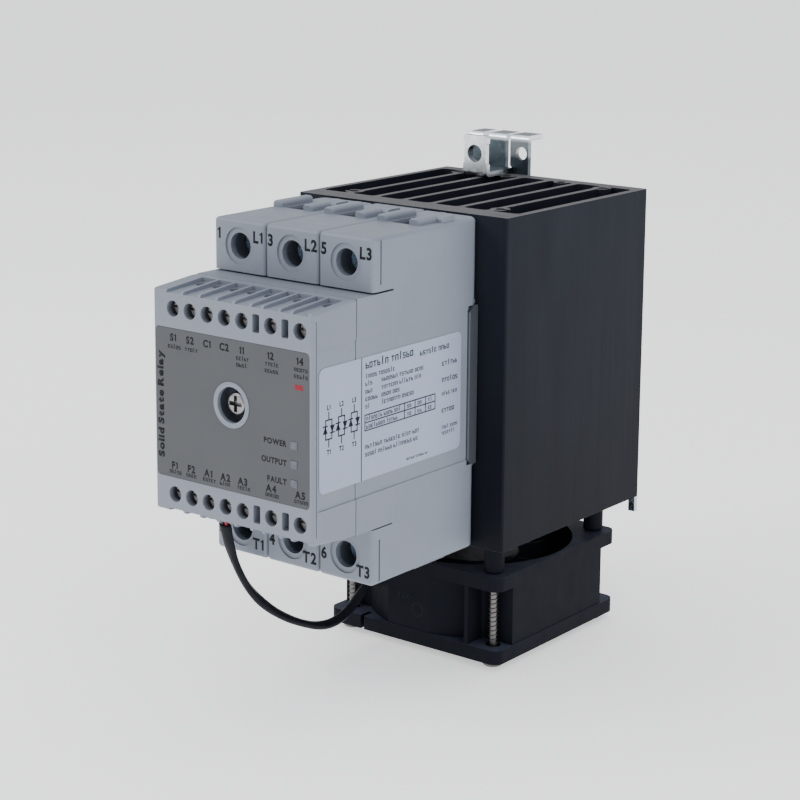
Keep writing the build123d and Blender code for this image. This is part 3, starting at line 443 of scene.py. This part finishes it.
def ink(name, colour):
    look = Look(name, roughness=0.55, specular=0.15)
    patchy = look.ramp(look.noise(0.6 * MM, 3.0), 0.3, 0.7)
    look.colour(look.blend(patchy, shade(colour, 0.85), shade(colour, 1.25)))
    look.bump(look.noise(0.15 * MM, 1.0), 0.002 * MM)
    return look.material


def light_pipe_material():
    look = Look("light_pipe_plastic", roughness=0.22, specular=0.6)
    core = look.ramp(look.noise(1.2 * MM, 2.0), 0.35, 0.65)
    look.colour(look.blend(core, (0.070, 0.073, 0.096), (0.088, 0.091, 0.118)))
    look.shader.inputs["Subsurface Weight"].default_value = 0.3
    look.shader.inputs["Subsurface Radius"].default_value = (0.002, 0.002, 0.002)
    look.bump(look.noise(0.4 * MM, 1.0), 0.003 * MM)
    return look.material


def board_material():
    """Solder mask with faint copper tracks under it."""
    look = Look("circuit_board_mask", roughness=0.32)
    weave = look.noise(0.5 * MM, 1.0)
    tracks = look.ramp(look.noise(2.4 * MM, 0.0, (1.0, 1.0, 0.25)), 0.50, 0.53)
    look.colour(look.blend(tracks, (0.010, 0.085, 0.035), (0.022, 0.150, 0.060)))
    look.bump(look.maths("ADD", tracks, look.maths("MULTIPLY", weave, 0.3)), 0.03 * MM)
    return look.material


def ceramic_material():
    look = Look("alumina", roughness=0.5)
    grain = look.ramp(look.noise(0.4 * MM, 3.0), 0.3, 0.7)
    look.colour(look.blend(grain, (0.72, 0.71, 0.68), (0.83, 0.82, 0.79)))
    look.bump(look.noise(0.3 * MM, 2.0), 0.006 * MM)
    return look.material


def sleeve_material():
    """Extruded PVC sleeve: satin, with faint rings from handling."""
    look = Look("lead_sleeve_pvc", roughness=0.42, specular=0.07)
    clouds = look.ramp(look.noise(5 * MM, 3.0), 0.35, 0.65)
    look.colour(look.blend(clouds, (0.0080, 0.0088, 0.0120), (0.0125, 0.0135, 0.0180)))
    look.rough(look.ramp(look.noise(1.5 * MM, 3.0), 0.3, 0.7, 0.32, 0.46))
    look.bump(look.noise(0.7 * MM, 2.0), 0.02 * MM)
    return look.material


def insulation_material(name, colour):
    look = Look(name, roughness=0.33)
    clouds = look.ramp(look.noise(1.5 * MM, 2.0), 0.35, 0.65)
    look.colour(look.blend(clouds, shade(colour, 0.8), colour))
    look.bump(look.noise(0.3 * MM, 1.0), 0.004 * MM)
    return look.material


GREY = (0.186, 0.207, 0.250)
DARK_INK = (0.0085, 0.0095, 0.013)
M = {
    "grey": moulded_plastic("grey_housing_plastic", GREY, 0.46, painted_shade_mask=bore_shade),
    "clip": moulded_plastic("grey_clip_plastic", shade(GREY, 0.27), 0.40),
    # The fan's black is lifted as painted light on up and down faces; its walls get painted shade.
    "black": moulded_plastic("black_fan_plastic", (0.0430, 0.0490, 0.0720), 0.50,
                             grain_depth=0.016 * MM, wear_and_highlight=1.4, specular=0.04,
                             painted_shade_mask=fan_wall_shade),
    "rotor": moulded_plastic("black_rotor_plastic", (0.0075, 0.0088, 0.0130), 0.42, wear_and_highlight=1.6,
                             specular=0.12),
    "component": moulded_plastic("component_epoxy", (0.018, 0.018, 0.020), 0.5, wear_and_highlight=1.5),
    "sink": anodised("black_anodised_aluminium"),
    "zinc": plated("zinc_plated_steel", (0.62, 0.655, 0.69), 0.24, (0.40, 0.455, 0.52)),
    "blue_zinc": plated("blue_zinc_steel", (0.46, 0.62, 0.78), 0.24, (0.25, 0.40, 0.58),
                        metallic=0.7),
    "nickel": plated("nickel_plated_steel", (0.52, 0.50, 0.47), 0.27),
    "module_screw": plated("module_screw_steel", (0.285, 0.275, 0.280), 0.30, painted_shade_mask=recess_shade),
    "terminal_screw": plated("terminal_screw_steel", (0.74, 0.72, 0.68), 0.25, metallic=0.55),
    "bracket": plated("bracket_zinc", (0.90, 0.93, 0.96), 0.30, (0.82, 0.86, 0.90),
                      depth=0.002 * MM, painted_shade_mask=bracket_shade, painted_shade=(0.042, 0.064, 0.076)),
    "stainless": plated("screw_steel", (0.185, 0.178, 0.170), 0.36),
    "brass": plated("terminal_brass", (0.70, 0.55, 0.28), 0.26, (0.58, 0.44, 0.20)),
    "tinned": plated("tinned_copper", (0.68, 0.62, 0.56), 0.32, (0.60, 0.50, 0.42)),
    "spring": plated("spring_steel_wire", (0.50, 0.51, 0.53), 0.22),
    "film": film("panel_film_grey", (0.079, 0.082, 0.088), 0.46, 0.004 * MM, specular=0.2),
    "label": film("label_film_white", (0.302, 0.340, 0.444), 0.36, 0.002 * MM),
    "pipe": light_pipe_material(),
    "board": board_material(),
    "ceramic": ceramic_material(),
    "pad": film("thermal_pad_grey", (0.42, 0.45, 0.49), 0.7, 0.01 * MM),
    "magnet": film("bonded_magnet", (0.030, 0.030, 0.032), 0.6, 0.01 * MM),
    "sleeve": sleeve_material(),
    "fan_mark": moulded_plastic("fan_mark_plastic", (0.0100, 0.0118, 0.0180), 0.44, specular=0.08),
    "ink": ink("print_dark_grey", DARK_INK),
    "red_ink": ink("print_red", (0.230, 0.020, 0.030)),
    "label_ink": ink("print_label_blue_black", (0.010, 0.013, 0.024)),
}

NODE_LOOKS = {
    "heat_sink": "sink", "side_clips": "clip", "control_front_cover": "grey",
    "control_rear_housing": "grey", "front_panel_overlay": "film", "rating_label": "label",
    "status_light_pipes": "pipe", "control_board": "board", "board_components": "component",
    "control_terminal_blocks": "brass", "gate_connectors": "component", "thermal_pads": "pad",
    "power_substrates": "ceramic", "busbars": "tinned", "pole_fixing_screws": "zinc",
    "module_fixing_screw": "module_screw", "fan_frame": "black", "fan_bearings": "nickel",
    "fan_stator": "zinc", "fan_circuit_board": "board", "fan_rotor": "rotor",
    "fan_magnet_ring": "magnet", "fan_shaft": "nickel", "fan_spacers": "black",
    "rail_bracket": "bracket", "rail_latch": "zinc", "latch_spring": "spring",
    "bracket_screws": "zinc", "fan_screws": "stainless",
}
NODE_LOOKS.update({f"pole_housing_{i}": "grey" for i in (1, 2, 3)})
for row in ("line", "load"):
    NODE_LOOKS.update({f"{row}_screw_{i}": "blue_zinc" for i in (1, 2, 3)})
    NODE_LOOKS.update({f"{row}_clamp_{i}": "zinc" for i in (1, 2, 3)})
NODE_LOOKS.update({f"control_screw_{i + 1}": "terminal_screw" for i in range(14)})


def dress_cad_nodes():
    for name, look in NODE_LOOKS.items():
        node = NODES[name]
        for slot in node.material_slots:
            slot.material = M[look]


# Moulded and cut edges of the large shells, rounded by a bevel this wide.
SOFT_EDGES = {"heat_sink": 0.12, "control_front_cover": 0.10, "control_rear_housing": 0.12,
              "pole_housing_1": 0.12, "pole_housing_2": 0.12, "pole_housing_3": 0.12,
              "side_clips": 0.10, "fan_frame": 0.15, "fan_spacers": 0.15, "rail_bracket": 0.12,
              "rail_latch": 0.12}


def soften_edges():
    for name, width in SOFT_EDGES.items():
        bevel = NODES[name].modifiers.new("soft_edges", "BEVEL")
        bevel.width = width * MM
        bevel.segments = 2
        bevel.limit_method = "ANGLE"
        bevel.angle_limit = math.radians(40)
        bevel.harden_normals = True


# ---- print ----
PRINT_LIFT = 0.012 * MM
PRINT_THICKNESS = 0.02 * MM
FACE_FRONT = Matrix(((1, 0, 0), (0, 0, -1), (0, 1, 0)))    # local x, y, z on a front face
FACE_RIGHT = Matrix(((0, 0, 1), (1, 0, 0), (0, 1, 0)))     # the same on the right side


def new_piece(name, mesh, material):
    """An object that rides on the housing, in the given material."""
    piece = bpy.data.objects.new(name, mesh)
    bpy.context.scene.collection.objects.link(piece)
    mesh.materials.clear()
    mesh.materials.append(material)
    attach(piece, HOUSING)
    return piece


# The built-in font's 1 has no flag, so this outline replaces it.
ONE = ((0.13, 0.0), (0.24, 0.0), (0.24, 0.70), (0.155, 0.70), (0.10, 0.615), (0.0, 0.565),
       (0.0, 0.48), (0.13, 0.525))
CAPITAL_HEIGHT = 0.70           # this and the gaps are shares of the font size
LETTER_GAP = 0.085
WORD_GAP = 0.24


def glyph_mesh(letter, size, weight):
    """A flat mesh of one letter, and its left and right edges."""
    mesh = bpy.data.meshes.new("letter")
    if letter == "1":
        grow = weight * MM * 0.7
        corners = [(x * size + (grow if x > 0.2 else -grow), y * size, 0.0) for x, y in ONE]
        mesh.from_pydata(corners, [], [tuple(range(len(corners)))])
    else:
        curve = bpy.data.curves.new("letter", "FONT")
        curve.body = letter
        curve.size = size
        curve.offset = weight * MM
        curve.resolution_u = 4
        holder = bpy.data.objects.new("letter", curve)
        bpy.context.scene.collection.objects.link(holder)
        bpy.data.meshes.remove(mesh)
        mesh = bpy.data.meshes.new_from_object(holder.evaluated_get(
            bpy.context.evaluated_depsgraph_get()))
        bpy.data.objects.remove(holder)
        bpy.data.curves.remove(curve)
    edges = [vertex.co.x for vertex in mesh.vertices]
    return mesh, min(edges), max(edges)


def letters(bm, words, size, place, facing, squeeze=1.0, align="CENTER", turn=0.0, weight=0.0):
    """Adds flat lettering to bm: size is the capitals' height in metres."""
    font_size = size / CAPITAL_HEIGHT
    laid = []
    cursor = 0.0
    for letter in words:
        if letter == " ":
            cursor += WORD_GAP * font_size
            continue
        mesh, left, right = glyph_mesh(letter, font_size, weight)
        laid.append((mesh, cursor - left))
        cursor += right - left + LETTER_GAP * font_size
    length = cursor - LETTER_GAP * font_size
    start = -length if align == "RIGHT" else -length / 2
    spin = Matrix.Rotation(turn, 4, "Z") @ Matrix.Diagonal((squeeze, 1.0, 1.0, 1.0))
    to_face = Matrix.Translation(place) @ facing.to_4x4() @ spin
    for mesh, x in laid:
        mesh.transform(to_face @ Matrix.Translation((x + start, -size / 2, 0.0)))
        bm.from_mesh(mesh)
        bpy.data.meshes.remove(mesh)


def polygon(bm, points, place, facing):
    """Adds one flat polygon: points are (x, y) in metres on the face."""
    turn = Matrix.Translation(place) @ facing.to_4x4()
    bm.faces.new([bm.verts.new(turn @ Vector((x, y, 0.0))) for x, y in points])


def bar(bm, x0, x1, y0, y1, place, facing):
    polygon(bm, [(x0, y0), (x1, y0), (x1, y1), (x0, y1)], place, facing)


def frame_lines(bm, x0, x1, y0, y1, line, place, facing):
    bar(bm, x0, x1, y0, y0 + line, place, facing)
    bar(bm, x0, x1, y1 - line, y1, place, facing)
    bar(bm, x0, x0 + line, y0, y1, place, facing)
    bar(bm, x1 - line, x1, y0, y1, place, facing)


def ring(bm, x, y, radius, line, place, facing, steps=36):
    """Adds a flat ring line to bm."""
    turn = Matrix.Translation(place) @ facing.to_4x4()
    loops = []
    angles = [2 * math.pi * k / steps for k in range(steps)]
    for reach in (radius - line / 2, radius + line / 2):
        points = [Vector((x + reach * math.cos(a), y + reach * math.sin(a), 0.0)) for a in angles]
        loops.append([bm.verts.new(turn @ point) for point in points])
    inner, outer = loops
    for k in range(steps):
        j = (k + 1) % steps
        bm.faces.new((inner[k], inner[j], outer[j], outer[k]))


def finish_print(bm, name, material):
    mesh = bpy.data.meshes.new(name)
    bmesh.ops.recalc_face_normals(bm, faces=bm.faces)
    bm.to_mesh(mesh)
    bm.free()
    piece = new_piece(name, mesh, material)
    solid = piece.modifiers.new("thickness", "SOLIDIFY")
    solid.thickness = PRINT_THICKNESS
    solid.offset = 0.0


# Strokes of letter-like marks, as (x0, x1, y0, y1) in shares of their width and height. They look
# like small print, and there is nothing to read in them.
STROKE = 0.30
MARKS = (
    ((0, STROKE, 0, 1), (1 - STROKE, 1, 0, 0.9), (0, 1, 0.82, 1)),
    ((0, STROKE, 0, 1), (1 - STROKE, 1, 0, 1), (0, 1, 0, 0.18), (0, 1, 0.82, 1)),
    ((0, STROKE, 0, 1), (0, 1, 0, 0.18), (0, 1, 0.82, 1), (0, 0.8, 0.42, 0.58)),
    ((0, STROKE, 0, 1), (1 - STROKE, 1, 0, 0.5), (0, 1, 0.42, 0.58), (0, 1, 0, 0.18)),
    ((0, STROKE, 0.5, 1), (1 - STROKE, 1, 0, 0.6), (0, 1, 0, 0.18), (0, 1, 0.42, 0.58),
     (0.1, 1, 0.82, 1)),
    ((0.35, 0.65, 0, 1), (0, 1, 0.78, 0.96)),
)
TALL_MARK = ((0.3, 0.62, 0, 1.38),)


def unread_line(bm, x, y, length, height, place, facing, rng):
    """A line of small print in word lengths, made of letter-like marks."""
    end = x + length
    while x < end - 0.6 * height:
        stop = min(x + rng.uniform(2.4, 6.0) * height, end)
        while x < stop:
            marks = TALL_MARK if rng.random() < 0.12 else rng.choice(MARKS)
            wide = rng.uniform(0.54, 0.66) * height
            for x0, x1, y0, y1 in marks:
                bar(bm, x + x0 * wide, x + x1 * wide, y + y0 * height * 0.74,
                    y + y1 * height * 0.74, place, facing)
            x += wide + 0.15 * height
        x += 0.42 * height


POLE_PITCH = 17.8 * MM
CONTROL_X = [-19.77, -13.95, -8.13, -2.31, 3.51, 12.96, 22.41]


def print_pole_marks():
    bm = bmesh.new()
    y = front(44.6) - PRINT_LIFT
    for i in range(3):
        x = (i - 1) * POLE_PITCH
        for words, dx, z in ((str(2 * i + 1), -7.1, 40.9), (f"L{i + 1}", 6.4, 41.0),
                             (str(2 * i + 2), -7.0, -38.9), (f"T{i + 1}", 5.9, -41.4)):
            letters(bm, words, 2.9 * MM, (x + dx * MM, y, z * MM), FACE_FRONT, 0.90, weight=0.16)
    finish_print(bm, "pole_marks", M["ink"])


def print_panel():
    """Generic terminal codes, and short captions beside the status lights."""
    bm = bmesh.new()
    rng = random.Random(3)
    y = FILM_LOW[1] - PRINT_LIFT
    top = ("S1", "S2", "C1", "C2", "11", "12", "14")
    bottom = ("F1", "F2", "A1", "A2", "A3", "A4", "A5")
    captions = ((14.6,), (14.6,), (), (), (14.9, 13.2), (14.9, 13.2), (14.9, 13.2))
    for x, upper, lower, rows in zip(CONTROL_X, top, bottom, captions):
        for words, z in ((upper, 17.5), (lower, -16.1)):
            letters(bm, words, 1.8 * MM, (x * MM, y, z * MM), FACE_FRONT, 0.95, weight=0.10)
        for z in (*rows, -18.3):
            unread_line(bm, (x - 1.8) * MM, z * MM, 3.7 * MM, 1.2 * MM, (0, y, 0), FACE_FRONT, rng)
    for words, z in (("POWER", -3.9), ("OUTPUT", -8.75), ("FAULT", -13.6)):
        letters(bm, words, 1.4 * MM, (18.1 * MM, y, z * MM), FACE_FRONT, 0.95, align="RIGHT",
                weight=0.07)
    letters(bm, "Solid State Relay", 1.9 * MM, (FILM_LOW[0] + 1.5 * MM, y, -0.5 * MM), FACE_FRONT,
            1.2, turn=math.pi / 2, weight=0.15)
    finish_print(bm, "panel_print", M["ink"])
    bm = bmesh.new()
    bar(bm, 20.9 * MM, 23.5 * MM, 10.3 * MM, 11.6 * MM, (0, y, 0), FACE_FRONT)
    finish_print(bm, "panel_red_bar", M["red_ink"])


def symbol(bm, x, place, facing):
    """A pair of opposed thyristors between two terminals, drawn with plain lines."""
    line = 0.34 * MM
    half, low, high = 1.35 * MM, -2.6 * MM, 2.6 * MM
    frame_lines(bm, x - half, x + half, low, high, line, place, facing)
    bar(bm, x - line / 2, x + line / 2, high, high + 1.9 * MM, place, facing)
    bar(bm, x - line / 2, x + line / 2, low - 1.9 * MM, low, place, facing)
    size = 0.95 * MM
    for side, way in ((-half, 1), (half, -1)):
        tip = way * size
        polygon(bm, [(x + side - size, -tip), (x + side + size, -tip), (x + side, tip)],
                place, facing)
        bar(bm, x + side - size, x + side + size, tip - line / 2, tip + line / 2, place, facing)


def print_label():
    """Wiring symbols, a divider, a blank table and unreadable small print."""
    bm = bmesh.new()
    rng = random.Random(11)
    place = (LABEL_HIGH[0] + PRINT_LIFT, LABEL_LOW[1], 0.0)
    facing = FACE_RIGHT
    line = 0.3 * MM
    bar(bm, 16.15 * MM, 16.15 * MM + line, LABEL_LOW[2], LABEL_HIGH[2], place, facing)
    for i in range(3):
        x = (3.6 + 4.9 * i) * MM
        symbol(bm, x, place, facing)
        for z, words in ((5.6, f"L{i + 1}"), (-5.7, f"T{i + 1}")):
            spot = Vector(place) + Vector((0, x, z * MM))
            letters(bm, words, 1.2 * MM, spot, facing, 0.85, weight=0.06)
    unread_line(bm, 17.8 * MM, 12.6 * MM, 18.5 * MM, 2.1 * MM, place, facing, rng)
    unread_line(bm, 40.0 * MM, 12.0 * MM, 11.5 * MM, 1.6 * MM, place, facing, rng)
    for z, start, length in ((10.1, 17.8, 13.0), (8.2, 17.8, 2.4), (8.2, 24.2, 18.0),
                             (6.2, 17.8, 2.4), (6.2, 24.2, 16.0), (4.3, 17.8, 5.0),
                             (4.3, 24.2, 7.5), (2.4, 17.8, 1.6), (2.4, 24.2, 12.5),
                             (-8.0, 17.8, 22.0), (-10.0, 17.8, 21.0)):
        unread_line(bm, start * MM, z * MM, length * MM, 1.3 * MM, place, facing, rng)
    frame_lines(bm, 17.5 * MM, 46.8 * MM, -3.4 * MM, 0.9 * MM, line, place, facing)
    bar(bm, 17.5 * MM, 46.8 * MM, -1.35 * MM, -1.35 * MM + line, place, facing)
    for x in (33.6, 38.0, 42.4):
        bar(bm, x * MM, x * MM + line, -3.4 * MM, 0.9 * MM, place, facing)
        for z in (-0.75, -2.85):
            unread_line(bm, (x + 1.2) * MM, z * MM, 1.8 * MM, 1.25 * MM, place, facing, rng)
    for z in (-0.75, -2.85):
        unread_line(bm, 18.2 * MM, z * MM, 13.5 * MM, 1.25 * MM, place, facing, rng)
    unread_line(bm, 34.7 * MM, -14.6 * MM, 8.8 * MM, 0.8 * MM, place, facing, rng)
    for z, height in ((7.6, 1.5), (3.2, 1.5), (-0.4, 1.2), (-5.0, 1.5), (-9.4, 1.1), (-11.0, 1.1)):
        unread_line(bm, 49.6 * MM, z * MM, 6.2 * MM, height * MM, place, facing, rng)
    finish_print(bm, "label_print", M["label_ink"])


FAN_WALL_INSET = 0.3 * MM


def make_fan_marks():
    """Mould marks that stand slightly proud of the fan's front wall."""
    bm = bmesh.new()
    rng = random.Random(5)
    place = (0.0, FAN_LOW[1] + FAN_WALL_INSET - PRINT_LIFT, 0.0)
    ring(bm, 2.0 * MM, -70.9 * MM, 1.9 * MM, 0.32 * MM, place, FACE_FRONT)
    unread_line(bm, -5.4 * MM, -68.6 * MM, 4.4 * MM, 2.4 * MM, place, FACE_FRONT, rng)
    finish_print(bm, "fan_mould_marks", M["fan_mark"])


# ---- threads of the fan screws ----
THREAD_ROOT_R = 0.98 * MM
THREAD_CREST_R = 1.36 * MM
THREAD_PITCH = 1.3 * MM
THREAD_STEPS = 24               # points round each turn
SCREW_HEAD_R = 3.0 * MM


def thread_ridge(bm, centre, z0, z1):
    """A sharp helical ridge round a screw's shank, faded out at both ends."""
    count = int((z1 - z0) / THREAD_PITCH * THREAD_STEPS)
    half = 0.24 * MM
    rows = []
    for k in range(count + 1):
        angle = 2 * math.pi * k / THREAD_STEPS
        z = z0 + THREAD_PITCH * k / THREAD_STEPS
        fade = min(1.0, k / THREAD_STEPS, (count - k) / THREAD_STEPS)
        crest = THREAD_ROOT_R + (THREAD_CREST_R - THREAD_ROOT_R) * fade
        profile = ((THREAD_ROOT_R, z - half), (crest, z - 0.05 * MM), (crest, z + 0.05 * MM),
                   (THREAD_ROOT_R, z + half))
        rows.append([bm.verts.new((centre[0] + r * math.cos(angle),
                                   centre[1] + r * math.sin(angle), h)) for r, h in profile])
    for low, high in zip(rows, rows[1:]):
        for k in range(len(low)):
            j = (k + 1) % len(low)
            bm.faces.new((low[k], low[j], high[j], high[k]))
    bm.faces.new(list(reversed(rows[0])))
    bm.faces.new(rows[-1])


def make_screw_threads():
    bm = bmesh.new()
    for x in (SCREWS_LOW[0] + SCREW_HEAD_R, SCREWS_HIGH[0] - SCREW_HEAD_R):
        for y in (SCREWS_LOW[1] + SCREW_HEAD_R, SCREWS_HIGH[1] - SCREW_HEAD_R):
            thread_ridge(bm, (x, y), FAN_LOW[2] + 0.6 * MM, SCREWS_HIGH[2] - 1.0 * MM)
    mesh = bpy.data.meshes.new("fan_screw_threads")
    bmesh.ops.recalc_face_normals(bm, faces=bm.faces)
    bm.to_mesh(mesh)
    bm.free()
    new_piece("fan_screw_threads", mesh, M["stainless"])


# ---- latch spring ----
SPRING_WIRE_R = 0.3 * MM
SPRING_COIL_R = 1.8 * MM
SPRING_OPEN_TURNS = 6
SPRING_END_TURNS = 1.25         # closed turns at each end
SPRING_STEPS = 30               # points round each turn
SPRING_SIDES = 10


def spring_height(turn, height):
    """How far the wire has risen after so many turns: closed ends, open middle."""
    closed = 2.05 * SPRING_WIRE_R
    opened = (height - 2 * SPRING_END_TURNS * closed) / SPRING_OPEN_TURNS
    low = min(turn, SPRING_END_TURNS)
    high = max(turn - SPRING_END_TURNS - SPRING_OPEN_TURNS, 0.0)
    return (low + high) * closed + (turn - low - high) * opened


def make_latch_spring():
    """The coil spring above the bracket's ledge, which the latch presses as it drops."""
    low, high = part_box("latch_spring")
    x, y = (low[0] + high[0]) / 2, (low[1] + high[1]) / 2
    height = high[2] - low[2] - 2 * SPRING_WIRE_R
    count = round((SPRING_OPEN_TURNS + 2 * SPRING_END_TURNS) * SPRING_STEPS)
    bm = bmesh.new()
    rows = []
    for k in range(count + 1):
        angle = 2 * math.pi * k / SPRING_STEPS
        z = low[2] + SPRING_WIRE_R + spring_height(k / SPRING_STEPS, height)
        row = []
        for j in range(SPRING_SIDES):
            around = 2 * math.pi * j / SPRING_SIDES
            radius = SPRING_COIL_R + SPRING_WIRE_R * math.cos(around)
            row.append(bm.verts.new((x + radius * math.cos(angle), y + radius * math.sin(angle),
                                     z + SPRING_WIRE_R * math.sin(around))))
        rows.append(row)
    for first, second in zip(rows, rows[1:]):
        for j in range(SPRING_SIDES):
            k = (j + 1) % SPRING_SIDES
            bm.faces.new((first[j], first[k], second[k], second[j]))
    bm.faces.new(rows[0])
    bm.faces.new(list(reversed(rows[-1])))
    bmesh.ops.recalc_face_normals(bm, faces=bm.faces)
    for face in bm.faces:
        face.smooth = len(face.verts) == 4
    mesh = bpy.data.meshes.new("latch_coil_spring")
    bm.to_mesh(mesh)
    bm.free()
    spring = new_piece("latch_coil_spring", mesh, M["spring"])
    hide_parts("latch_spring")
    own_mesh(spring)


# ---- fan lead ----
# The route's points: x, distance behind the heat sink's front face, z, in millimetres.
LEAD_ROUTE = [(-15.4, -53.6, -34.4), (-15.4, -52.6, -39.2), (-15.3, -49.8, -46.5),
              (-15.3, -44.6, -55.0), (-15.3, -36.0, -62.9), (-15.3, -25.0, -69.6),
              (-15.3, -13.5, -74.2), (-15.4, -4.0, -73.6), (-15.5, 3.2, -68.9),
              (-15.6, 7.6, -66.4), (-15.6, 12.0, -66.0)]
RED_WIRE = [(-14.8, -53.6, -34.4), (-14.5, -54.3, -32.0), (-13.95, -56.0, -29.4),
            (-13.95, -56.4, -25.2)]
BLACK_WIRE = [(-16.0, -53.6, -34.4), (-17.2, -54.1, -32.8), (-19.8, -55.1, -32.9),
              (-20.5, -56.6, -30.6), (-19.77, -56.4, -25.2)]
# The empty sleeve lies flat. Share of its length, half width, half thickness, turn in degrees.
SLEEVE_SHAPE = [(0.00, 2.15, 0.80, 4), (0.06, 1.95, 0.92, 8), (0.18, 1.62, 1.00, 30),
                (0.34, 1.50, 0.96, 60), (0.46, 1.48, 0.96, 38), (0.58, 1.42, 1.02, 12),
                (0.74, 1.38, 1.05, 40), (1.00, 1.30, 1.20, 60)]


def route_point(x, behind, z):
    return (x * MM, SINK_FRONT + behind * MM, z * MM)


def nurbs_curve(name, points):
    curve = bpy.data.curves.new(name, "CURVE")
    curve.dimensions = "3D"
    spline = curve.splines.new("NURBS")
    spline.points.add(len(points) - 1)
    for spot, point in zip(spline.points, points):
        spot.co = (*route_point(*point), 1.0)
    spline.order_u = 3
    spline.use_endpoint_u = True
    spline.resolution_u = 12
    return curve


def nurbs_line(points):
    """Points along the smooth line of a route."""
    curve = nurbs_curve("line", points)
    holder = bpy.data.objects.new("line", curve)
    mesh = bpy.data.meshes.new_from_object(holder)
    line = [vertex.co.copy() for vertex in mesh.vertices]
    bpy.data.objects.remove(holder)
    bpy.data.meshes.remove(mesh)
    bpy.data.curves.remove(curve)
    return line


def sleeve_shape(share):
    """Half width, half thickness and turn of the flat sleeve at this share of its length."""
    for low, high in zip(SLEEVE_SHAPE, SLEEVE_SHAPE[1:]):
        if share <= high[0]:
            t = (share - low[0]) / (high[0] - low[0])
            t = t * t * (3 - 2 * t)
            return [a + (b - a) * t for a, b in zip(low[1:], high[1:])]
    return SLEEVE_SHAPE[-1][1:]


def flat_sleeve(name, line):
    """A flattened, twisting tube along a line, closed at both ends."""
    bm = bmesh.new()
    steps = [0.0]
    for low, high in zip(line, line[1:]):
        steps.append(steps[-1] + (high - low).length)
    around = 28
    loops = []
    for k, spot in enumerate(line):
        along = (line[min(k + 1, len(line) - 1)] - line[max(k - 1, 0)]).normalized()
        across = (Vector((1, 0, 0)) - along * along.x).normalized()
        half, thin, turn = sleeve_shape(steps[k] / steps[-1])
        across = Matrix.Rotation(math.radians(turn), 3, along) @ across
        normal = along.cross(across)
        loop = []
        for j in range(around):
            angle = 2 * math.pi * j / around
            reach = (half * math.cos(angle) * across
                     + thin * math.copysign(abs(math.sin(angle)) ** 0.8, math.sin(angle)) * normal)
            loop.append(bm.verts.new(spot + reach * MM))
        loops.append(loop)
    for low, high in zip(loops, loops[1:]):
        for j in range(around):
            k = (j + 1) % around
            bm.faces.new((low[j], low[k], high[k], high[j]))
    bm.faces.new(list(reversed(loops[0])))
    bm.faces.new(loops[-1])
    bmesh.ops.recalc_face_normals(bm, faces=bm.faces)
    for face in bm.faces:
        face.smooth = len(face.verts) == 4
    mesh = bpy.data.meshes.new(name)
    bm.to_mesh(mesh)
    bm.free()
    return mesh


def lead_wire(name, points, tone):
    curve = nurbs_curve(name, points)
    curve.bevel_depth = 0.55 * MM
    curve.bevel_resolution = 6
    curve.use_fill_caps = True
    curve.materials.append(insulation_material(f"{name}_pvc", tone))
    wire = bpy.data.objects.new(name, curve)
    bpy.context.scene.collection.objects.link(wire)
    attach(wire, HOUSING)
    return wire


def make_lead():
    line = nurbs_line(LEAD_ROUTE)
    sleeve = new_piece("fan_lead_sleeve", flat_sleeve("fan_lead_sleeve", line), M["sleeve"])
    wires = [lead_wire("fan_wire_red", RED_WIRE, (0.30, 0.010, 0.022)),
             lead_wire("fan_wire_black", BLACK_WIRE, (0.007, 0.007, 0.008))]
    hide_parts("fan_lead")
    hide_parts("fan_lead_wires")


make_camera()
make_lead()
make_studio()
dress_cad_nodes()
soften_edges()
print_pole_marks()
print_panel()
print_label()
make_screw_threads()
make_fan_marks()
make_latch_spring()
